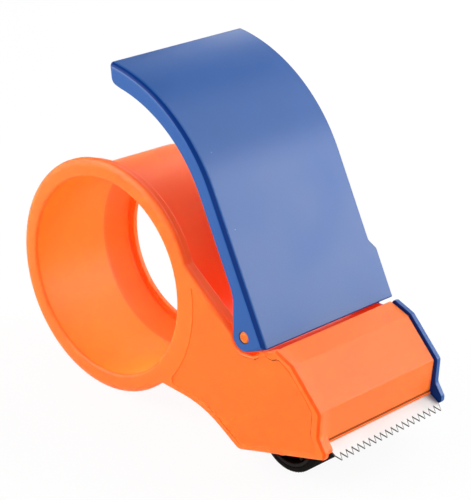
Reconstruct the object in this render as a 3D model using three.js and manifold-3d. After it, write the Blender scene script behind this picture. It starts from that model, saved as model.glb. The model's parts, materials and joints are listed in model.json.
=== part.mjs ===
// Hand-held packing-tape dispenser: a hub for a 3-inch tape core on one cheek, a hooded head
// with a pressing roller and a serrated blade, and a curved handle hinged above the head.
//
// Units are millimetres, +Z is up. While it is built, the hub's axis is the Y axis and the
// cheek's outer face is y = 0, with the hub to the left (-X) and the head to the right (+X).
// The last lines move the finished group so that its origin is the centre of its footprint.

import * as THREE from 'three';
import { mergeVertices } from 'three/addons/utils/BufferGeometryUtils.js';
import Module from 'manifold-3d';

const wasm = await Module();
wasm.setup();

// ---------- Driving dimensions ----------

const FIT = 0.3; // gap between two pieces that touch
const RUN = 0.08; // radial running clearance of a pin or shaft in its hole
const WALL = 2.2; // moulded wall thickness

// Across the object (Y)
const CHEEK_T = 2.5; // outer layer of the cheek
const SHOULDER_T = 3.1; // inner layer of the cheek, set in from the edge
const SHOULDER_INSET = 1.0;
const HEAD_WIDTH = 53.7; // from the shoulder to the far end of the hood
const SIDE_PLATE_T = 2.2;
const EAR_T = 2.2; // flanges and ears of the handle

// Hub
const HUB_R = 37.2; // a 3-inch core slides over it
const FLANGE_LIP = 4.4; // how far the flange stands out from the hub
const MOUTH_LIP = 1.3; // and how far it reaches in
const HUB_SEGMENTS = 60;
const HUB_WALL = 2.3;
const HUB_DRAFT = 0.5; // the hub narrows by this much on its radius towards its free end
const HUB_LENGTH = 39.3; // from the shoulder to the free end
const LIP_R = 30.3; // opening left by the inner lip at the free end
const LIP_STEP_R = 32.2;
const LIP_T = 3.6;
const BORE_FILLET = 7; // how far back the bore starts to curve in to the lip
const BARBS = 3; // low bumps that grip the tape core
const BARB_WIDTH = 12;
const BARB_HEIGHT = 1.2;

// Handle hinge and handle
const HINGE_X = 66.15;
const HINGE_Z = 1.7;
const HINGE_PIN_R = 1.95;
const PIN_SINK = 0.15; // the pins' ends lie this far below the ears
const LUG_R = 4.3;
const EAR_R = 4.9;
const EAR_POCKET_GAP = 0.7;
const HANDLE_LEAN = 120.1; // direction of the straight part, in degrees from +X
const HANDLE_OFFSET = 7.23; // from the hinge axis to the outer face of the straight part
const HANDLE_STRAIGHT = 53.4; // length of the straight part
const HANDLE_FOOT = 5.8; // how far the straight part runs down past the hinge
const HANDLE_BEND_R = 62.0;
const HANDLE_SWEEP = 56.3; // degrees of bend
const HANDLE_SHELL = 2.3;
const FLANGE_DEPTH = 5.9; // depth of the handle's side flanges on the straight part
const FLANGE_BEND_R = 53.0; // radius of the flanges' free edge in the bend
const HANDLE_RIBS = 3;
const RIB_T = 1.6;
const RIB_DEPTH = 3.2;
const EAR_NECK = 19.9; // height above the foot where the flanges run into the ears
const STEP_BOTTOM = 17.6; // the far side steps out between these heights to pass the side plate
const STEP_TOP = 21.1;
const TIP_TOP_R = 0.6;
const TIP_BOTTOM_R = 3.2;

// Roller
const ROLLER_X = 82.7;
const ROLLER_R = 12.2;
const ROLLER_DROP = 0.9; // the roller stands lower than the flange, so its tyre takes the weight
const ROLLER_LENGTH = 51.8;
const TYRE_T = 1.9;
const ROLLER_HUB_R = 4.2;
const ROLLER_RIM_T = 1.3;
const ROLLER_WEB_T = 3;
const ROLLER_SPOKES = 5;
const SPOKE_T = 1.4;
const SPOKE_INSET = 1.2;
const AXLE_R = 2.0;
const AXLE_BOSS_R = 4.6;
const BUSH_R = 3.1;
const BUSH_LENGTH = 6;
const WASHER_R = 4.0;
const WASHER_T = 0.5;

// Blade and the bar that carries it
const BLADE_ROOT = [102.8, -27.83]; // the line through the bottoms of the teeth
const BLADE_DROP = 28; // degrees below the horizontal
const BLADE_T = 0.6;
const BLADE_BACK = 9; // from the tooth roots to the back edge
const BLADE_TEETH = 19;
const TOOTH_HEIGHT = 2.65;
const BAR_T = 2.0; // the part of the bar behind the hood's front wall
const BAR_RISE = 3.6;
const BAR_LIFT = 0.1; // between the blade and the bar
const BLADE_SCREWS = 3;
const BLADE_SCREW_EDGE = 9.5;
const BLADE_SCREW_BACK = 6.6; // from the tooth roots to the screws

// Screws
const POST_R = 3.2;
const PLATE_SCREW = { headR: 2.7, headH: 1.5, shankR: 1.3, shankL: 11 };
const BLADE_SCREW = { headR: 1.6, headH: 0.8, shankR: 0.85, shankL: 3.7 };
const CLIP_T = 0.6;
const CLIP_R = 3.5;

// ---------- Places worked out from the sizes ----------

const rad = THREE.MathUtils.degToRad;
const onCircle = (r, degrees) => [r * Math.cos(rad(degrees)), r * Math.sin(rad(degrees))];

const FLANGE_R = HUB_R + FLANGE_LIP;
const MOUTH_R = HUB_R - MOUTH_LIP;
const SHOULDER_Y = CHEEK_T + SHOULDER_T;
const HEAD_END = SHOULDER_Y + HEAD_WIDTH;
const PLATE_IN = HEAD_END + FIT;
const PLATE_OUT = PLATE_IN + SIDE_PLATE_T;
const EAR_IN = PLATE_OUT + FIT;
const EAR_OUT = EAR_IN + EAR_T;
const HUB_END = SHOULDER_Y + HUB_LENGTH;
const HUB_BORE = HUB_R - HUB_WALL;
const AXLE_Z = ROLLER_R - FLANGE_R - ROLLER_DROP;
const AXLE_IN = CHEEK_T + 0.6;
const BOSS_END = SHOULDER_Y + 0.4;
const WASHER_NEAR = BOSS_END + 0.1;
const ROLLER_Y = WASHER_NEAR + WASHER_T + 0.1;
const ROLLER_END = ROLLER_Y + ROLLER_LENGTH;
const WASHER_FAR = ROLLER_END + 0.1;
const PLATE_BOSS_IN = WASHER_FAR + WASHER_T + 0.1;
const CLIP_Y = PLATE_OUT + 0.2;
const AXLE_END = CLIP_Y + CLIP_T + 0.9;
const BLADE_Y = SHOULDER_Y + FIT;
const BLADE_END = HEAD_END + 0.1;
const TOOTH_PITCH = (BLADE_END - BLADE_Y) / BLADE_TEETH;

// Outlines are lists of corners [x, z, corner radius], counterclockwise seen from -Y.
const TOE = [[103.4, -27.75, 2.0], [103.3, -25.4, 1.4], [100.1, -21.2, 2.5], [100.1, -12.6, 1.8],
  [87.2, -0.4, 2.0], [79.6, 2.2, 1.0]]; // the cheek's edge round the head, from its toe up
const HEEL = [66.5, -39.2, 3.0];
const BELLY = [49.6, -30.0, 46];
const EDGE_KINK = [...onCircle(FLANGE_R + 0.06, 24.54), 0]; // the cheek's top edge leaves the flange
const BELLY_START = [...onCircle(FLANGE_R + 0.19, -44.32), 0.8]; // and its underside leaves here
const HOOD_STEP = [[69.4, -3.6, 0], [70.6, -1.1, 0.6], [77.9, -1.1, 0.4]]; // ledge under the handle
const HOOD_TOP = [[78.6, 1.65, 0.5], [86.7, -1.0, 1.2], [99.2, -12.85, 1.2]];
const HOOD_LIP = [98.8, -24.4, 0];
const TRAY = [[42.4, -25.2, 1], [49.4, -26.8, 42], [66.4, -36.1, 2], [99.0, -25.9, 1.5], [96.7, -19, 1],
  [96.7, -14, 1], [85.8, -3.6, 1], [79.6, -1.4, 0.5], [77.6, -3.4, 0.5], [64.8, -3.4, 1], [42.4, 11, 1]];
const PLATE_POSTS = [[75.6, -5.0], [94.0, -13.2], [66.3, -33.2]]; // screw posts of the side plate

// ---------- Small geometry helpers ----------

// Corners with radii become plain points, each round corner a short arc.
function rounded(corners) {
  const points = [];
  corners.forEach(([x, z, radius = 0], i) => {
    const corner = new THREE.Vector2(x, z);
    const [ax, az] = corners[(i + corners.length - 1) % corners.length];
    const [bx, bz] = corners[(i + 1) % corners.length];
    const toA = new THREE.Vector2(ax, az).sub(corner);
    const toB = new THREE.Vector2(bx, bz).sub(corner);
    const reach = 0.48 * Math.min(toA.length(), toB.length());
    toA.normalize();
    toB.normalize();
    const half = Math.acos(THREE.MathUtils.clamp(toA.dot(toB), -1, 1)) / 2;
    const tangent = Math.min(radius / Math.tan(half), reach);
    if (tangent < 0.05 || half > 1.55) {
      points.push(corner);
      return;
    }
    const r = tangent * Math.tan(half);
    const centre = toA.clone().add(toB).normalize().multiplyScalar(r / Math.sin(half)).add(corner);
    const start = corner.clone().addScaledVector(toA, tangent).sub(centre);
    const end = corner.clone().addScaledVector(toB, tangent).sub(centre);
    const sweep = Math.atan2(start.cross(end), start.dot(end));
    const steps = Math.max(2, Math.ceil(Math.abs(sweep) / rad(15)));
    for (let k = 0; k <= steps; k++) {
      points.push(start.clone().rotateAround(new THREE.Vector2(), (sweep * k) / steps).add(centre));
    }
  });
  return points;
}

// Corners along a circular arc about (x, z), angles in degrees, ends included.
function arc(x, z, radius, from, to, step = 12) {
  const count = Math.max(1, Math.ceil(Math.abs(to - from) / step));
  return Array.from({ length: count + 1 }, (_, k) => {
    const a = rad(from + ((to - from) * k) / count);
    return [x + radius * Math.cos(a), z + radius * Math.sin(a), 0];
  });
}

// Moves corners to the left of their direction of travel and keeps their round edges parallel.
function inset(corners, distance, closed = true) {
  const points = corners.map(([x, z]) => new THREE.Vector2(x, z));
  const count = points.length;
  const normal = (i) => {
    const edge = points[(i + 1) % count].clone().sub(points[i % count]).normalize();
    return new THREE.Vector2(-edge.y, edge.x);
  };
  return points.map((p, i) => {
    const before = closed || i > 0 ? normal(i + count - 1) : normal(i);
    const after = closed || i < count - 1 ? normal(i) : normal(i - 1);
    const middle = before.clone().add(after).normalize();
    p.addScaledVector(middle, distance / Math.max(0.3, middle.dot(before)));
    const radius = corners[i][2] ?? 0;
    const change = before.cross(after) > 0 ? -distance : distance;
    return [p.x, p.y, radius ? Math.max(0, radius + change) : 0];
  });
}

// Drops points that a rounded outline repeats.
function distinct(points) {
  return points.filter((p, i) => p.distanceTo(points[(i + 1) % points.length]) > 0.01);
}

function toSolid(geometry) {
  geometry.deleteAttribute('normal');
  geometry.deleteAttribute('uv');
  const merged = mergeVertices(geometry, 1e-4);
  return new wasm.Manifold(new wasm.Mesh({
    numProp: 3,
    vertProperties: new Float32Array(merged.attributes.position.array),
    triVerts: new Uint32Array(merged.index.array),
  }));
}

// A flat outline in X and Z, thick from y0 to y1.
function slab(points, y0, y1) {
  const geometry = new THREE.ExtrudeGeometry(new THREE.Shape(distinct(points)), {
    depth: y1 - y0, bevelEnabled: false, steps: 1,
  });
  geometry.rotateX(Math.PI / 2);
  geometry.translate(0, y1, 0);
  return toSolid(geometry);
}

// A profile [radius, y] turned about the line through (x, z) parallel to Y.
function turned(profile, x = 0, z = 0, segments = 32) {
  const points = profile.map(([r, y]) => new THREE.Vector2(r, y));
  const geometry = new THREE.LatheGeometry(points, segments);
  geometry.translate(x, 0, z);
  return toSolid(geometry);
}

function rod(radius, y0, y1, x = 0, z = 0, segments = 32) {
  return turned([[0, y0], [radius, y0], [radius, y1], [0, y1]], x, z, segments);
}

function tube(outer, inner, y0, y1, x = 0, z = 0, segments = 32) {
  return turned([[inner, y0], [outer, y0], [outer, y1], [inner, y1], [inner, y0]], x, z, segments);
}

// A box about (x, y, z), turned by an angle about the hub's axis.
function bar(sizeX, sizeY, sizeZ, x, y, z, turn = 0) {
  const geometry = new THREE.BoxGeometry(sizeX, sizeY, sizeZ);
  geometry.translate(x, y, z);
  geometry.rotateY(turn);
  return toSolid(geometry);
}

const join = (parts) => parts.reduce((whole, part) => whole.add(part));
const cutAll = (whole, cutters) => cutters.reduce((left, cutter) => left.subtract(cutter), whole);

// ---------- Materials ----------

const paint = (color, roughness, metalness = 0) => ({ color, roughness, metalness });
const ORANGE = paint(0xff6a1c, 0.42);
const BLUE = paint(0x2450a4, 0.35);
const BLACK = paint(0x161412, 0.6);
const RUBBER = paint(0x1c1917, 0.85);
const STEEL = paint(0xd9dcdf, 0.22, 1);
const NYLON = paint(0xe9e6dc, 0.5);

const model = new THREE.Group();

function addPiece(name, solid, finish, parent = model) {
  const { vertProperties, triVerts } = solid.getMesh();
  const geometry = new THREE.BufferGeometry();
  geometry.setAttribute('position', new THREE.BufferAttribute(vertProperties, 3));
  geometry.setIndex(new THREE.BufferAttribute(triVerts, 1));
  const mesh = new THREE.Mesh(geometry, new THREE.MeshStandardMaterial(finish));
  mesh.name = name;
  parent.add(mesh);
  return mesh;
}

// ---------- Main frame: hub, cheek and hood in one moulding ----------

function hub() {
  const edge = FLANGE_R - SHOULDER_INSET;
  const lipY = HUB_END - LIP_T;
  const curveIn = HUB_BORE - LIP_STEP_R;
  const profile = [
    [MOUTH_R, 0], [FLANGE_R - 0.8, 0], [FLANGE_R - 0.2, 0.4], [FLANGE_R, 1.0],
    [FLANGE_R, CHEEK_T - 0.6], [edge + 0.4, CHEEK_T], [edge, CHEEK_T], [edge, SHOULDER_Y],
    [HUB_R + 0.8, SHOULDER_Y], [HUB_R, SHOULDER_Y + 0.8],
    [HUB_R - HUB_DRAFT, HUB_END - 0.6], [HUB_R - HUB_DRAFT - 0.6, HUB_END], [LIP_R, HUB_END],
    [LIP_R, HUB_END - LIP_T / 2], [LIP_STEP_R, HUB_END - LIP_T / 2], [LIP_STEP_R, lipY],
    [HUB_BORE - 0.6 * curveIn, lipY - 0.2 * BORE_FILLET],
    [HUB_BORE - 0.2 * curveIn, lipY - 0.6 * BORE_FILLET], [HUB_BORE, lipY - BORE_FILLET],
    [HUB_BORE + 0.3, 0.8], [MOUTH_R, 0],
  ];
  return turned(profile, 0, 0, HUB_SEGMENTS);
}

// Low bumps near the hub's free end.
function barbs() {
  const crest = HUB_R + BARB_HEIGHT;
  const root = HUB_R - HUB_DRAFT;
  const inside = HUB_R - HUB_WALL / 2;
  const ring = turned([
    [inside, HUB_END - 3.8], [root, HUB_END - 3.8], [crest, HUB_END - 1.8],
    [crest, HUB_END - 1.4], [root, HUB_END - 0.8], [inside, HUB_END - 0.8],
    [inside, HUB_END - 3.8],
  ], 0, 0, HUB_SEGMENTS);
  const reach = 3 * HUB_WALL;
  return Array.from({ length: BARBS }, (_, i) => ring.intersect(
    bar(BARB_WIDTH, reach, reach, 0, HUB_END, HUB_R, (2 * Math.PI * (i + 0.25)) / BARBS)));
}

const FLANGE_SIDE = arc(0, 0, (FLANGE_R + MOUTH_R) / 2, 28, -48, 9); // merges into the hub's flange
const UNDERSIDE = [BELLY_START, BELLY, HEEL];

// The cheek's outer layer, notched round the handle's ear.
function cheekOutline() {
  const notch = arc(HINGE_X, HINGE_Z, EAR_R + EAR_POCKET_GAP, -75, -172);
  const underFoot = [[77.4, 1.0, 0.6], [70.2, -3.65, 1.5]];
  return [...UNDERSIDE, ...TOE, ...underFoot, ...notch, EDGE_KINK, ...FLANGE_SIDE];
}

// The layer behind it carries on under the ear.
function shoulderOutline() {
  const underEar = [[77.6, -0.8, 0.4], [65.4, -0.6, 0]];
  return inset([...UNDERSIDE, ...TOE, ...underEar, EDGE_KINK, ...FLANGE_SIDE], SHOULDER_INSET);
}

function cheek() {
  const shoulder = slab(rounded(shoulderOutline()), CHEEK_T - 0.01, SHOULDER_Y)
    .subtract(slab(rounded(TRAY), CHEEK_T, SHOULDER_Y + 1));
  return slab(rounded(cheekOutline()), 0, CHEEK_T).add(shoulder);
}

// The bent wall that roofs the head: ledge, top, slope and front.
function hood() {
  const outside = [...HOOD_STEP, ...HOOD_TOP, HOOD_LIP].reverse();
  const inside = inset(outside, WALL, false);
  inside[0] = [HOOD_LIP[0] - WALL, HOOD_LIP[1] + WALL * Math.tan(rad(BLADE_DROP)), 0];
  return slab(rounded([...outside, ...inside.reverse()]), CHEEK_T, HEAD_END);
}

function mainFrame() {
  const posts = PLATE_POSTS.map(([x, z]) => rod(POST_R, CHEEK_T - 0.5, HEAD_END, x, z, 24));
  const lug = rod(LUG_R, CHEEK_T, SHOULDER_Y, HINGE_X, HINGE_Z);
  const boss = rod(AXLE_BOSS_R, CHEEK_T - 0.5, BOSS_END, ROLLER_X, AXLE_Z);
  const body = join([hub(), ...barbs(), cheek(), hood(), ...posts, lug, boss]);
  const pilots = PLATE_POSTS.map(([x, z]) => rod(
    PLATE_SCREW.shankR + RUN, HEAD_END - PLATE_SCREW.shankL, HEAD_END + 1, x, z, 16));
  return cutAll(body, [
    ...pilots,
    rod(HINGE_PIN_R + RUN, CHEEK_T - 0.1, SHOULDER_Y + 0.1, HINGE_X, HINGE_Z, 24),
    rod(AXLE_R + RUN, AXLE_IN - FIT, BOSS_END + 1, ROLLER_X, AXLE_Z, 24),
    ...bladeScrewHoles(BLADE_SCREW.shankR + RUN),
  ]);
}

// ---------- Side plate: the removable far cheek of the head ----------

function sidePlate() {
  const lug = arc(HINGE_X, HINGE_Z, LUG_R, -40, 180, 15);
  const corners = [HEEL, ...TOE, [77.4, -1.6, 1.0], [72.4, -2.3, 1.0], ...lug];
  const body = join([
    slab(rounded(corners), PLATE_IN, PLATE_OUT),
    rod(LUG_R, PLATE_IN - WALL, PLATE_OUT, HINGE_X, HINGE_Z),
    rod(AXLE_BOSS_R, PLATE_BOSS_IN, PLATE_OUT, ROLLER_X, AXLE_Z),
  ]);
  return cutAll(body, [
    rod(HINGE_PIN_R + RUN, PLATE_IN - WALL + 0.8, PLATE_OUT + 1, HINGE_X, HINGE_Z, 24),
    rod(AXLE_R + RUN, PLATE_BOSS_IN - 1, PLATE_OUT + 1, ROLLER_X, AXLE_Z, 24),
    ...PLATE_POSTS.map(([x, z]) => rod(
      PLATE_SCREW.shankR + 2 * RUN, PLATE_IN - 1, PLATE_OUT + 1, x, z, 16)),
  ]);
}

// ---------- Handle: a curved channel with two ears ----------

const ALONG = new THREE.Vector2(Math.cos(rad(HANDLE_LEAN)), Math.sin(rad(HANDLE_LEAN)));
const OUT = new THREE.Vector2(ALONG.y, -ALONG.x);
const FOOT = new THREE.Vector2(HINGE_X, HINGE_Z)
  .addScaledVector(OUT, HANDLE_OFFSET)
  .addScaledVector(ALONG, -HANDLE_FOOT);

// Corners at a depth inside the handle's outer face, from a height above its foot to its tip.
function handleLine(depth, bendR, start = 0, sweep = HANDLE_SWEEP) {
  const first = FOOT.clone().addScaledVector(ALONG, start).addScaledVector(OUT, -depth);
  const centre = FOOT.clone()
    .addScaledVector(ALONG, HANDLE_STRAIGHT)
    .addScaledVector(OUT, -depth - bendR);
  const lean = HANDLE_LEAN - 90;
  return [[first.x, first.y, 0], ...arc(centre.x, centre.y, bendR, lean, lean + sweep, 4.2)];
}

// The side view of the flanges and ears.
function handleSide() {
  const outer = handleLine(0, HANDLE_BEND_R);
  const edge = handleLine(FLANGE_DEPTH, FLANGE_BEND_R, EAR_NECK).reverse();
  outer.at(-1)[2] = TIP_TOP_R;
  edge[0][2] = TIP_BOTTOM_R;
  const ear = arc(HINGE_X, HINGE_Z, EAR_R, 176, 295);
  return [...outer, ...edge, ...ear];
}

// The side view of the hollow between the flanges, open along the handle's inner side.
function channelSide() {
  const tipWall = THREE.MathUtils.radToDeg(HANDLE_SHELL / HANDLE_BEND_R);
  const sweep = HANDLE_SWEEP - tipWall;
  const under = handleLine(HANDLE_SHELL, HANDLE_BEND_R - HANDLE_SHELL, -5, sweep);
  const beyond = 2 * HANDLE_OFFSET; // a depth past the flanges' free edge
  const open = handleLine(beyond, FLANGE_BEND_R + FLANGE_DEPTH - beyond, -5, sweep);
  return [...under, ...open.reverse()];
}

// A block whose front view is given in [height above the foot, y].
function frontBlock(corners) {
  const shape = new THREE.Shape(corners.map(([s, y]) => new THREE.Vector2(s, y)));
  const geometry = new THREE.ExtrudeGeometry(shape, { depth: 120, bevelEnabled: false });
  const along = new THREE.Vector3(ALONG.x, 0, ALONG.y);
  const inwards = new THREE.Vector3(-OUT.x, 0, -OUT.y);
  const basis = new THREE.Matrix4().makeBasis(along, new THREE.Vector3(0, 1, 0), inwards);
  geometry.translate(0, 0, -10);
  geometry.applyMatrix4(basis.setPosition(FOOT.x, 0, FOOT.y));
  return toSolid(geometry);
}

function handleShell() {
  const slope = [STEP_BOTTOM, STEP_TOP];
  const wide = frontBlock([[-20, 0], [120, 0], [120, PLATE_OUT], [slope[1], PLATE_OUT],
    [slope[0], EAR_OUT], [-20, EAR_OUT]]);
  const hollow = frontBlock([[-20, EAR_T], [120, EAR_T], [120, PLATE_IN],
    [slope[1] - 0.8, PLATE_IN], [slope[0] - 0.8, EAR_IN], [-20, EAR_IN]]);
  const block = slab(rounded(handleSide()), -1, EAR_OUT + 1).intersect(wide);
  const channel = slab(rounded(channelSide()), -1, EAR_OUT + 1).intersect(hollow);
  const shell = join([block.subtract(channel), ...handleRibs()]);
  return shell.subtract(rod(HINGE_PIN_R + RUN, -1, EAR_OUT + 1, HINGE_X, HINGE_Z, 24));
}

function hingePin(y0, y1) {
  return rod(HINGE_PIN_R, y0, y1, HINGE_X, HINGE_Z, 24);
}

// Stiffening ribs across the hollow.
function handleRibs() {
  const face = handleLine(HANDLE_SHELL - 0.3, HANDLE_BEND_R - HANDLE_SHELL + 0.3);
  const spacing = (face.length - 1) / (HANDLE_RIBS + 1);
  return Array.from({ length: HANDLE_RIBS }, (_, i) => {
    const k = Math.round((i + 1) * spacing);
    const base = new THREE.Vector2(...face[k]);
    const along = new THREE.Vector2(...face[k + 1]).sub(base).setLength(RIB_T);
    const inwards = new THREE.Vector2(-along.y, along.x).setLength(RIB_DEPTH);
    const top = base.clone().add(along);
    const corners = [base, top, top.clone().add(inwards), base.clone().add(inwards)];
    return slab(corners, EAR_T - 0.5, PLATE_IN + 0.5);
  });
}

// ---------- Roller ----------

function rollerCore() {
  const outer = ROLLER_R - TYRE_T;
  const rim = outer - ROLLER_RIM_T;
  const middle = (ROLLER_Y + ROLLER_END) / 2;
  const body = join([
    tube(outer, rim, ROLLER_Y, ROLLER_END, ROLLER_X, AXLE_Z, 48),
    rod(ROLLER_HUB_R, ROLLER_Y, ROLLER_END, ROLLER_X, AXLE_Z),
    rod(rim + 0.2, middle - ROLLER_WEB_T / 2, middle + ROLLER_WEB_T / 2, ROLLER_X, AXLE_Z, 48),
    ...rollerSpokes(rim),
  ]);
  return cutAll(body, [
    rod(AXLE_R + 2 * RUN, ROLLER_Y - 1, ROLLER_END + 1, ROLLER_X, AXLE_Z, 24),
    rod(BUSH_R + RUN, ROLLER_Y - 1, ROLLER_Y + BUSH_LENGTH + FIT, ROLLER_X, AXLE_Z, 24),
    rod(BUSH_R + RUN, ROLLER_END - BUSH_LENGTH - FIT, ROLLER_END + 1, ROLLER_X, AXLE_Z, 24),
  ]);
}

function rollerSpokes(rim) {
  const spokes = [];
  const length = ROLLER_LENGTH - 2 * SPOKE_INSET;
  for (let i = 0; i < ROLLER_SPOKES; i++) {
    const geometry = new THREE.BoxGeometry(SPOKE_T, length, rim - ROLLER_HUB_R + 0.6);
    geometry.translate(0, ROLLER_Y + ROLLER_LENGTH / 2, (rim + ROLLER_HUB_R) / 2);
    geometry.rotateY((2 * Math.PI * i) / ROLLER_SPOKES);
    geometry.translate(ROLLER_X, 0, AXLE_Z);
    spokes.push(toSolid(geometry));
  }
  return spokes;
}

function rollerTyre() {
  const bore = ROLLER_R - TYRE_T + 0.1;
  return tube(ROLLER_R, bore, ROLLER_Y, ROLLER_END, ROLLER_X, AXLE_Z, 48);
}

function rollerBush(y) {
  return tube(BUSH_R, AXLE_R + RUN, y, y + BUSH_LENGTH, ROLLER_X, AXLE_Z, 24);
}

function rollerAxle() {
  const groove = AXLE_R - 0.5;
  return turned([
    [0, AXLE_IN], [AXLE_R - 0.3, AXLE_IN], [AXLE_R, AXLE_IN + 0.3], [AXLE_R, CLIP_Y - 0.1],
    [groove, CLIP_Y - 0.1], [groove, CLIP_Y + CLIP_T + 0.1], [AXLE_R, CLIP_Y + CLIP_T + 0.1],
    [AXLE_R, AXLE_END - 0.3], [AXLE_R - 0.3, AXLE_END], [0, AXLE_END],
  ], ROLLER_X, AXLE_Z, 20);
}

// A spring clip that snaps into the axle's groove from the side.
function axleClip() {
  const ring = tube(CLIP_R, AXLE_R - 0.5 + RUN, CLIP_Y, CLIP_Y + CLIP_T, ROLLER_X, AXLE_Z, 24);
  const mouth = new THREE.BoxGeometry(2.4, 4 * CLIP_T, 2 * CLIP_R);
  mouth.translate(ROLLER_X, CLIP_Y, AXLE_Z - CLIP_R);
  return ring.subtract(toSolid(mouth));
}

function washer(y) {
  return tube(WASHER_R, AXLE_R + RUN, y, y + WASHER_T, ROLLER_X, AXLE_Z, 24);
}

// ---------- Blade, its bar and their screws, in the blade's own tilted frame ----------

// In this frame +X runs down the blade towards the teeth, +Z is square to it and upwards.
function placeOnBlade(geometry) {
  geometry.rotateY(rad(BLADE_DROP));
  geometry.translate(BLADE_ROOT[0], 0, BLADE_ROOT[1]);
  return toSolid(geometry);
}

const BLADE_SCREW_YS = Array.from({ length: BLADE_SCREWS }, (_, i) => THREE.MathUtils.lerp(
  BLADE_Y + BLADE_SCREW_EDGE, BLADE_END - BLADE_SCREW_EDGE, i / (BLADE_SCREWS - 1)));

function bladeRod(radius, y, low, high, segments = 16) {
  const geometry = new THREE.CylinderGeometry(radius, radius, high - low, segments);
  geometry.rotateX(Math.PI / 2);
  geometry.translate(-BLADE_SCREW_BACK, y, (low + high) / 2);
  return placeOnBlade(geometry);
}

function bladeScrewHoles(radius) {
  return BLADE_SCREW_YS.map((y) => bladeRod(radius, y, -2, BLADE_SCREW.shankL - BLADE_T + 0.2));
}

function blade() {
  const points = [[-BLADE_BACK, BLADE_Y], [0, BLADE_Y]];
  for (let i = 0; i < BLADE_TEETH; i++) {
    points.push([TOOTH_HEIGHT, BLADE_Y + (i + 0.5) * TOOTH_PITCH]);
    points.push([0, BLADE_Y + (i + 1) * TOOTH_PITCH]);
  }
  points.push([-BLADE_BACK, BLADE_END]);
  const shape = new THREE.Shape(distinct(points.map(([x, y]) => new THREE.Vector2(x, y))));
  const geometry = new THREE.ExtrudeGeometry(shape, { depth: BLADE_T, bevelEnabled: false });
  geometry.translate(0, 0, -BLADE_T);
  return cutAll(placeOnBlade(geometry), bladeScrewHoles(BLADE_SCREW.shankR + RUN));
}

// The bar fills the corner behind the hood's front wall; its thin lip shows below the wall.
function bladeBar() {
  const drop = Math.tan(rad(BLADE_DROP));
  const bladeTop = (x) => BLADE_ROOT[1] + (BLADE_ROOT[0] - x) * drop + BAR_LIFT;
  const lipFront = HOOD_LIP[0];
  const lipTop = HOOD_LIP[1] - FIT;
  const wallInside = lipFront - WALL - FIT;
  const back = wallInside - BAR_T;
  const corners = [
    [lipFront, bladeTop(lipFront)], [lipFront, lipTop],
    [wallInside, lipTop + (lipFront - wallInside) * drop], [wallInside, bladeTop(back) + BAR_RISE],
    [back, bladeTop(back) + BAR_RISE], [back, bladeTop(back)],
  ];
  const body = slab(rounded(corners), SHOULDER_Y + FIT, HEAD_END - 0.1);
  return cutAll(body, bladeScrewHoles(BLADE_SCREW.shankR + 2 * RUN));
}

// ---------- Screws: a domed head with a cross recess and a plain shank, axis along +Y ----------

function screwSolid({ headR, headH, shankR, shankL }) {
  const body = turned([
    [0, -shankL], [shankR * 0.5, -shankL], [shankR, -shankL + shankR], [shankR, 0.05], [headR, 0.05],
    [headR, headH * 0.5], [headR * 0.7, headH], [0, headH],
  ], 0, 0, 16);
  const recess = (turn) => bar(headR, headH, headR * 0.24, 0, headH, 0, turn);
  return cutAll(body, [recess(0), recess(Math.PI / 2)]);
}

function addPlateScrews() {
  PLATE_POSTS.forEach(([x, z], i) => {
    const mesh = addPiece(`side_plate_screw_${i + 1}`, screwSolid(PLATE_SCREW), STEEL);
    mesh.position.set(x, PLATE_OUT, z);
  });
}

function addBladeScrews() {
  BLADE_SCREW_YS.forEach((y, i) => {
    const mesh = addPiece(`blade_screw_${i + 1}`, screwSolid(BLADE_SCREW), STEEL);
    const tilt = new THREE.Group();
    tilt.position.set(BLADE_ROOT[0], y, BLADE_ROOT[1]);
    tilt.rotation.y = rad(BLADE_DROP);
    mesh.position.set(-BLADE_SCREW_BACK, 0, -BLADE_T);
    mesh.rotation.x = -Math.PI / 2;
    tilt.add(mesh);
    model.add(tilt);
  });
}

// ---------- Assembly ----------

addPiece('main_frame', mainFrame(), ORANGE);
addPiece('side_plate', sidePlate(), BLUE);
addPlateScrews();
addPiece('blade_bar', bladeBar(), ORANGE);
addPiece('blade', blade(), STEEL);
addBladeScrews();
addPiece('roller_axle', rollerAxle(), STEEL);
addPiece('axle_clip', axleClip(), STEEL);
addPiece('hinge_pin_near', hingePin(PIN_SINK, SHOULDER_Y - 0.1), ORANGE);
addPiece('hinge_pin_far', hingePin(PLATE_IN - WALL + 1, EAR_OUT - PIN_SINK), BLUE);
addPiece('roller_washer_near', washer(WASHER_NEAR), NYLON);
addPiece('roller_washer_far', washer(WASHER_FAR), NYLON);
addPiece('roller_core', rollerCore(), BLACK);
addPiece('roller_tyre', rollerTyre(), RUBBER);
addPiece('roller_bush_near', rollerBush(ROLLER_Y), NYLON);
addPiece('roller_bush_far', rollerBush(ROLLER_END - BUSH_LENGTH), NYLON);
addPiece('handle_shell', handleShell(), BLUE);

// The origin is the centre of the footprint, on the surface that the dispenser stands on.
const box = new THREE.Box3().setFromObject(model);
const centre = box.getCenter(new THREE.Vector3());
model.position.set(-centre.x, -centre.y, -box.min.z);

export default model;
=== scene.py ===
# %% [markdown]
# # A hand-held packing-tape dispenser
#
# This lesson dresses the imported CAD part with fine, moulded-looking pieces. The CAD model gives
# every position. All lengths below are written in millimetres in the part's own building frame:
# the hub's axis is the Y axis, the cheek's outer face is y = 0, and the head points to +X.

import json
import math

import bmesh
import bpy
import numpy as np
from mathutils import Matrix, Vector


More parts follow.
